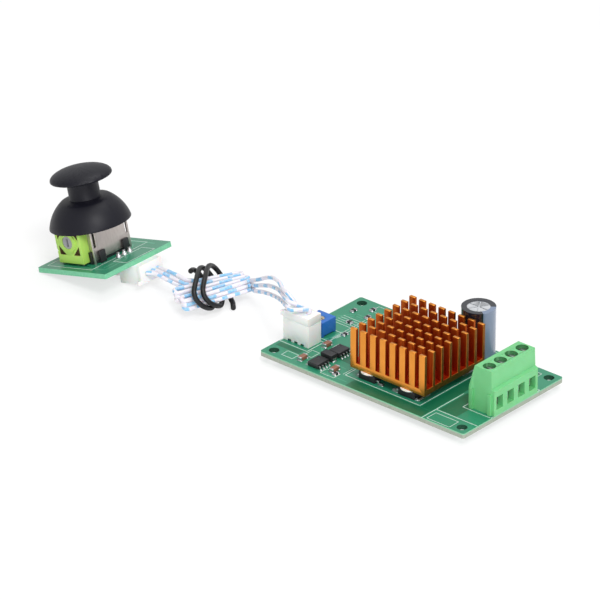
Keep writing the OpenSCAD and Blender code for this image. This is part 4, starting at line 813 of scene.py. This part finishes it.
# Turned brass under nickel is warm and bright, and its fine tool marks blur what it mirrors.
turned_brass = new_material("turned_nickelled_brass")
tone, _ = mottled(turned_brass, "#b9ad92", "#ded6c2", 0.667)
finish_material(turned_brass, add_node(turned_brass, "ShaderNodeBsdfPrincipled", {
    "Base Color": tone, "Metallic": 1.0, "Roughness": 0.3}))
stand_for(solid_copy("trimmer_case", "trimmer_body", [blue_nylon], 0.00012), "boards",
          "trimmer_blue", "trimmer_case")
stand_for(solid_copy("trimmer_rotor", "trimmer_screw", [turned_brass], 0.00006),
          "trimmer_turn", "ivory_plastic", "trimmer_rotor")

# Large capacitor
# A drawn aluminium can in a shrunk black sleeve, with a rubber bung rolled into its foot.
# The sleeve is glossy and carries a pale stripe down the side of the minus lead.
STRIPE_HALF_TURN = 0.62
LIP_DEPTH = 0.0012
LIP_FROM = 0.0045
LIP_TO = 0.0035
low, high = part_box("capacitor_sleeve")
cap_x, cap_y = (low[0] + high[0]) / 2, (low[1] + high[1]) / 2
lip_floor = high[2] - LIP_DEPTH
shrunk_sleeve = new_material("shrunk_black_sleeve_with_pale_stripe")
spot = add_node(shrunk_sleeve, "ShaderNodeTexCoord", {})
centred = add_node(shrunk_sleeve, "ShaderNodeMapping", {
    "Vector": spot.outputs["Object"], "Location": (-cap_x, -cap_y, 0)})
axes = add_node(shrunk_sleeve, "ShaderNodeSeparateXYZ", {0: centred.outputs[0]})
bearing = add_node(shrunk_sleeve, "ShaderNodeMath", {0: axes.outputs[1], 1: axes.outputs[0]},
                   operation="ARCTAN2")
stripe = add_node(shrunk_sleeve, "ShaderNodeMath", {
    0: bearing.outputs[0], 1: 0.0, 2: STRIPE_HALF_TURN}, operation="COMPARE")
tone = add_node(shrunk_sleeve, "ShaderNodeMix", {0: stripe.outputs[0], 6: linear("#151a25"),
                                                  7: linear("#7686a0")}, data_type="RGBA")
finish_material(shrunk_sleeve, add_node(shrunk_sleeve, "ShaderNodeBsdfPrincipled", {
    "Base Color": tone.outputs[2], "Roughness": 0.22, "Coat Weight": 0.4}))
# The can's end was pressed and etched, which makes it pale and satin.
drawn_aluminium = new_material("drawn_aluminium_can")
tone, _ = mottled(drawn_aluminium, "#b9bcc0", "#dfe1e3", 1.25)
finish_material(drawn_aluminium, add_node(drawn_aluminium, "ShaderNodeBsdfPrincipled", {
    "Base Color": tone, "Metallic": 1.0, "Roughness": 0.55}))
# Rubber is dull, and its filler makes it greyish.
black_rubber = moulded("moulded_black_rubber", "#2c2c2e", "#414144", 0.6, 0.667)
stand_for(solid_copy("capacitor_can", "capacitor_drawn_can", [drawn_aluminium], flat=False,
                     crease=10), "boards", "can", "capacitor_can")
sleeve = solid_copy("capacitor_sleeve", "capacitor_shrunk_sleeve", [shrunk_sleeve])
# Heat draws the sleeve's lip in over the can's end.
for corner in sleeve.data.vertices:
    off = Vector((corner.co.x - cap_x, corner.co.y - cap_y))
    if corner.co.z > lip_floor and off.length < LIP_FROM:
        corner.co.x = cap_x + off.x * LIP_TO / off.length
        corner.co.y = cap_y + off.y * LIP_TO / off.length
stand_for(sleeve, "boards", "sleeve", "capacitor_sleeve")
stand_for(solid_copy("capacitor_bung", "capacitor_rubber_bung", [black_rubber]), "boards",
          "bung", "capacitor_bung")

# Headers and plugs
# Off-white nylon housings. The headers are soldered down by their pins, and the plugs pushed
# over them. The walls are thin enough to glow a little.
NOTCH_TOP = 0.0012
white_nylon = moulded("moulded_white_nylon", "#e9e9e7", "#f6f6f4", 0.42, 0.556, soft=0.3)
# The notches in a header's foot are painted dark green as painted shade: little light gets
# into them, and the board's green shows there.
hollow_nylon = moulded("white_nylon_in_painted_shade_in_the_foot_notches", "#1d3a33", "#2c4d44", 0.6,
                       0.556)
for node, name in (("header_shroud", "upright_header"), ("driver_plug", "driver_plug_body"),
                   ("side_header", "side_entry_header"),
                   ("joystick_plug", "joystick_plug_body")):
    housing = solid_copy(node, name, [white_nylon, hollow_nylon], 0.00012)
    if node == "header_shroud":
        low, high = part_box(node)
        # Faces inside the foot, below the notches' top, take the painted shade.
        for face in housing.data.polygons:
            middle = face.center
            if (low[0] + SKIN < middle.x < high[0] - SKIN
                    and low[1] + SKIN < middle.y < high[1] - SKIN
                    and middle.z < low[2] + NOTCH_TOP):
                face.material_index = 1
    stand_for(housing, "boards", "ivory_plastic", node)

# Terminal block
# Green nylon moulded as one block, with zinc-plated clamp screws and tinned clamps that
# show through the holes in its top and face.
SCREW_HOLE = 0.0021
# Unfilled nylon is satin and lets a little light in, which makes its colour look milky.
green_nylon = moulded("moulded_green_nylon", "#62ba73", "#7dcd8e", 0.45, 0.625, soft=0.15)
# Down in the screw holes the same nylon lies in shade.
shaded_nylon = moulded("moulded_green_nylon_in_the_screw_holes", "#2f7140", "#43884f", 0.5,
                       0.625)
# Zinc plate is bright, and its crystals cloud what it mirrors.
plated_steel = new_material("zinc_plated_steel")
tone, _ = mottled(plated_steel, "#a4a6a8", "#cfd0d1", 0.714, 4.0)
finish_material(plated_steel, add_node(plated_steel, "ShaderNodeBsdfPrincipled", {
    "Base Color": tone, "Metallic": 1.0, "Roughness": 0.32}))
housing = solid_copy("terminal_body", "terminal_housing", [green_nylon, shaded_nylon],
                     flat=False, crease=15)
stand_for(housing, "boards", "terminal_green", "terminal_body")
for k in (1, 2, 3, 4):
    low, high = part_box("terminal_screw_%d" % k)
    for face in housing.data.polygons:
        off_x = face.center.x - (low[0] + high[0]) / 2
        off_y = face.center.y - (low[1] + high[1]) / 2
        if math.hypot(off_x, off_y) < SCREW_HOLE and abs(face.normal.z) < 0.5:
            face.material_index = 1
    stand_for(solid_copy("terminal_screw_%d" % k, "clamp_screw_%d" % k, [plated_steel],
                         0.00008), "screw_%d" % k, "steel", "terminal_screw_%d" % k)
    stand_for(solid_copy("terminal_clamp_%d" % k, "wire_clamp_%d" % k, [bright_tin],
                         0.00008), "clamp_%d" % k, "tinned", "terminal_clamp_%d" % k)

# Joystick body
# A black moulded base, a folded steel frame over it, and two potentiometers with cases of
# yellow-green plastic clipped to the frame's sides. The rockers turn in the frame.
# Carbon black makes the nylon nearly black right through, with a satin skin.
black_nylon = moulded("moulded_black_nylon", "#161617", "#26262a", 0.42, 0.5)
# Nickelled sheet keeps the long fine streaks that the rolling mill left. They are a few
# hundredths of a millimetre wide, drawn at 0.67 mm so that they show.
folded_steel = new_material("folded_nickelled_steel")
spot = add_node(folded_steel, "ShaderNodeTexCoord", {})
rolled = add_node(folded_steel, "ShaderNodeMapping", {"Vector": spot.outputs["Object"],
                                                       "Scale": (1.0, 1.0, 0.12)})
streak = add_node(folded_steel, "ShaderNodeTexNoise", {"Vector": rolled.outputs[0],
                                                        "Scale": 1000 / 0.667, "Detail": 4.0})
tone = add_node(folded_steel, "ShaderNodeMix", {0: streak.outputs[0], 6: linear("#b8afab"),
                                                 7: linear("#cfc7c3")}, data_type="RGBA")
finish_material(folded_steel, add_node(folded_steel, "ShaderNodeBsdfPrincipled", {
    "Base Color": tone.outputs[2], "Metallic": 1.0, "Roughness": 0.38}))
# Polyester and acetal come out smooth and waxy, and carbon ink dries flat and brown-black.
lime_polyester = moulded("moulded_lime_polyester", "#9ccc4f", "#b9e06a", 0.45, 0.556,
                         soft=0.15)
carbon_track = moulded("printed_carbon_track", "#4a3426", "#6b4a32", 0.5, 0.4)
grey_acetal = moulded("moulded_grey_acetal", "#8b8b90", "#a6a6ab", 0.4, 0.5)
ivory_acetal = moulded("moulded_ivory_acetal", "#dcd8ce", "#ebe7de", 0.4, 0.5)
for node, name, material, edge, body, slot in (
        ("joystick_base", "joystick_moulded_base", black_nylon, 0.0001, "boards",
         "black_plastic"),
        ("joystick_frame", "joystick_folded_frame", folded_steel, 0.0001, "boards",
         "frame_steel"),
        ("pot_x_track", "side_carbon_track", carbon_track, 0.0, "boards", "track"),
        ("pot_y_track", "end_carbon_track", carbon_track, 0.0, "boards", "track"),
        ("rocker_x", "lower_rocker_moulding", ivory_acetal, 0.00008, "lower_rocker",
         "ivory_plastic"),
        ("pot_x_hub", "side_hub", grey_acetal, 0.00006, "lower_rocker", "grey_plastic"),
        ("rocker_y", "upper_rocker_moulding", ivory_acetal, 0.00008, "upper_rocker",
         "ivory_plastic"),
        ("pot_y_hub", "end_hub", grey_acetal, 0.00006, "upper_rocker", "grey_plastic"),
        ("stick", "stick_moulding", ivory_acetal, 0.0001, "thumbstick", "ivory_plastic"),
        ("stick_pin", "stick_cross_pin", plated_steel, 0.00006, "thumbstick", "steel"),
        ("spring_plate", "centring_plate", ivory_acetal, 0.00006, "boards", "ivory_plastic"),
        ("return_spring", "wound_return_spring", plated_steel, 0.0, "boards", "steel")):
    stand_for(solid_copy(node, name, [material], edge), body, slot, node)

# Potentiometer cases
# Lime polyester, moulded with a raised ring round the hub and three-sided windows beside it.
# The windows open on the brown phenolic board that carries the track, which lies in shade.
RING_HEIGHT = 0.0004
WINDOW_DEPTH = 0.00125
WINDOW_BESIDE = (0.0015, 0.00435)
LOW_WINDOW = (-0.00415, -0.00115)
HIGH_WINDOW = (0.00065, 0.00295)
track_board = moulded("phenolic_board_in_the_case_windows", "#463a20", "#75633f", 0.5, 0.556)
level_joystick = on_joystick_board.inverted()
for node, hub, name, across, along in (
        ("pot_x_case", "pot_x_hub", "side_potentiometer", 0, 1),
        ("pot_y_case", "pot_y_hub", "end_potentiometer", 1, 0)):
    case = solid_copy(node, name, [lime_polyester, track_board], 0.00012)
    low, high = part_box(hub)
    hub_middle = level_joystick @ ((Vector(low) + Vector(high)) / 2)
    front = (min((level_joystick @ corner.co)[along] for corner in case.data.vertices)
             + RING_HEIGHT)
    for face in case.data.polygons:
        middle = level_joystick @ face.center
        deep = middle[along] - front
        beside = abs(middle[across] - hub_middle[across])
        above = middle.z - hub_middle.z
        if (2 * SKIN < deep < WINDOW_DEPTH and WINDOW_BESIDE[0] < beside < WINDOW_BESIDE[1]
                and (LOW_WINDOW[0] < above < LOW_WINDOW[1]
                     or HIGH_WINDOW[0] < above < HIGH_WINDOW[1])):
            face.material_index = 1
    stand_for(case, "boards", "pot_green", node)

# Knob cap
# Soft-touch rubber moulded over the stick: a domed skirt, a neck and a thumb disc. Its
# surface is matt, with a very fine even grain.
soft_rubber = moulded("moulded_soft_touch_rubber", "#0d0d14", "#161621", 0.45, 0.385,
                      bump=0.2, shine=0.27)
knob = solid_copy("knob_cap", "thumb_cap", [soft_rubber], 0.0001)
stand_for(knob, "thumbstick", "cap_black", "knob_cap")

# Studio
# A white paper floor under the boards' lowest pins, and soft light from above and both
# sides. The camera sees the paper almost as bright as the sky, and it keeps a faint shadow.
FLOOR_HEIGHT = -0.002
LIT_PLACE = Vector((-0.03, 0, 0.01))
bpy.ops.mesh.primitive_plane_add(size=8, location=(0, 0, FLOOR_HEIGHT))
floor = bpy.context.object
floor.name = "studio_floor"
pale_floor = new_material("white_paper_floor")
diffuse = add_node(pale_floor, "ShaderNodeBsdfDiffuse", {"Color": linear("#ffffff")})
bounce = add_node(pale_floor, "ShaderNodeLightPath", {})
lifted = add_node(pale_floor, "ShaderNodeMath", {0: bounce.outputs["Is Camera Ray"], 1: 0.68},
                  operation="MULTIPLY")
glare = add_node(pale_floor, "ShaderNodeEmission", {"Color": (1, 1, 1, 1), "Strength": 1.0})
finish_material(pale_floor, add_node(pale_floor, "ShaderNodeMixShader", {
    0: lifted.outputs[0], 1: diffuse.outputs[0], 2: glare.outputs[0]}))
floor.data.materials.append(pale_floor)
world = bpy.data.worlds.new("white_studio")
bpy.context.scene.world = world
world.use_nodes = True
world.node_tree.nodes.clear()
rays = add_node(world, "ShaderNodeLightPath", {})
seen = add_node(world, "ShaderNodeMath", {0: rays.outputs["Is Camera Ray"],
                                           1: rays.outputs["Is Glossy Ray"]},
                operation="MAXIMUM")
through = add_node(world, "ShaderNodeMath", {0: seen.outputs[0],
                                              1: rays.outputs["Is Transmission Ray"]},
                   operation="MAXIMUM")
power = add_node(world, "ShaderNodeMapRange", {"Value": through.outputs[0], 3: 0.45, 4: 0.72})
sky = add_node(world, "ShaderNodeBackground", {"Color": (1, 1, 1, 1),
                                                "Strength": power.outputs[0]})
add_node(world, "ShaderNodeOutputWorld", {"Surface": sky.outputs[0]})
for name, place, size, watts in (("key", (0.5, -0.3, 1.0), 0.4, 6.5),
                                 ("fill", (0.8, -0.75, 0.45), 0.6, 3.6),
                                 ("top", (-0.2, 0.4, 1.1), 0.6, 4.0)):
    bpy.ops.object.light_add(type="AREA", location=place)
    lamp = bpy.context.object
    lamp.name = name + "_softbox"
    lamp.data.size = size
    lamp.data.energy = watts
    lamp.rotation_euler = (LIT_PLACE - Vector(place)).to_track_quat("-Z", "Y").to_euler()
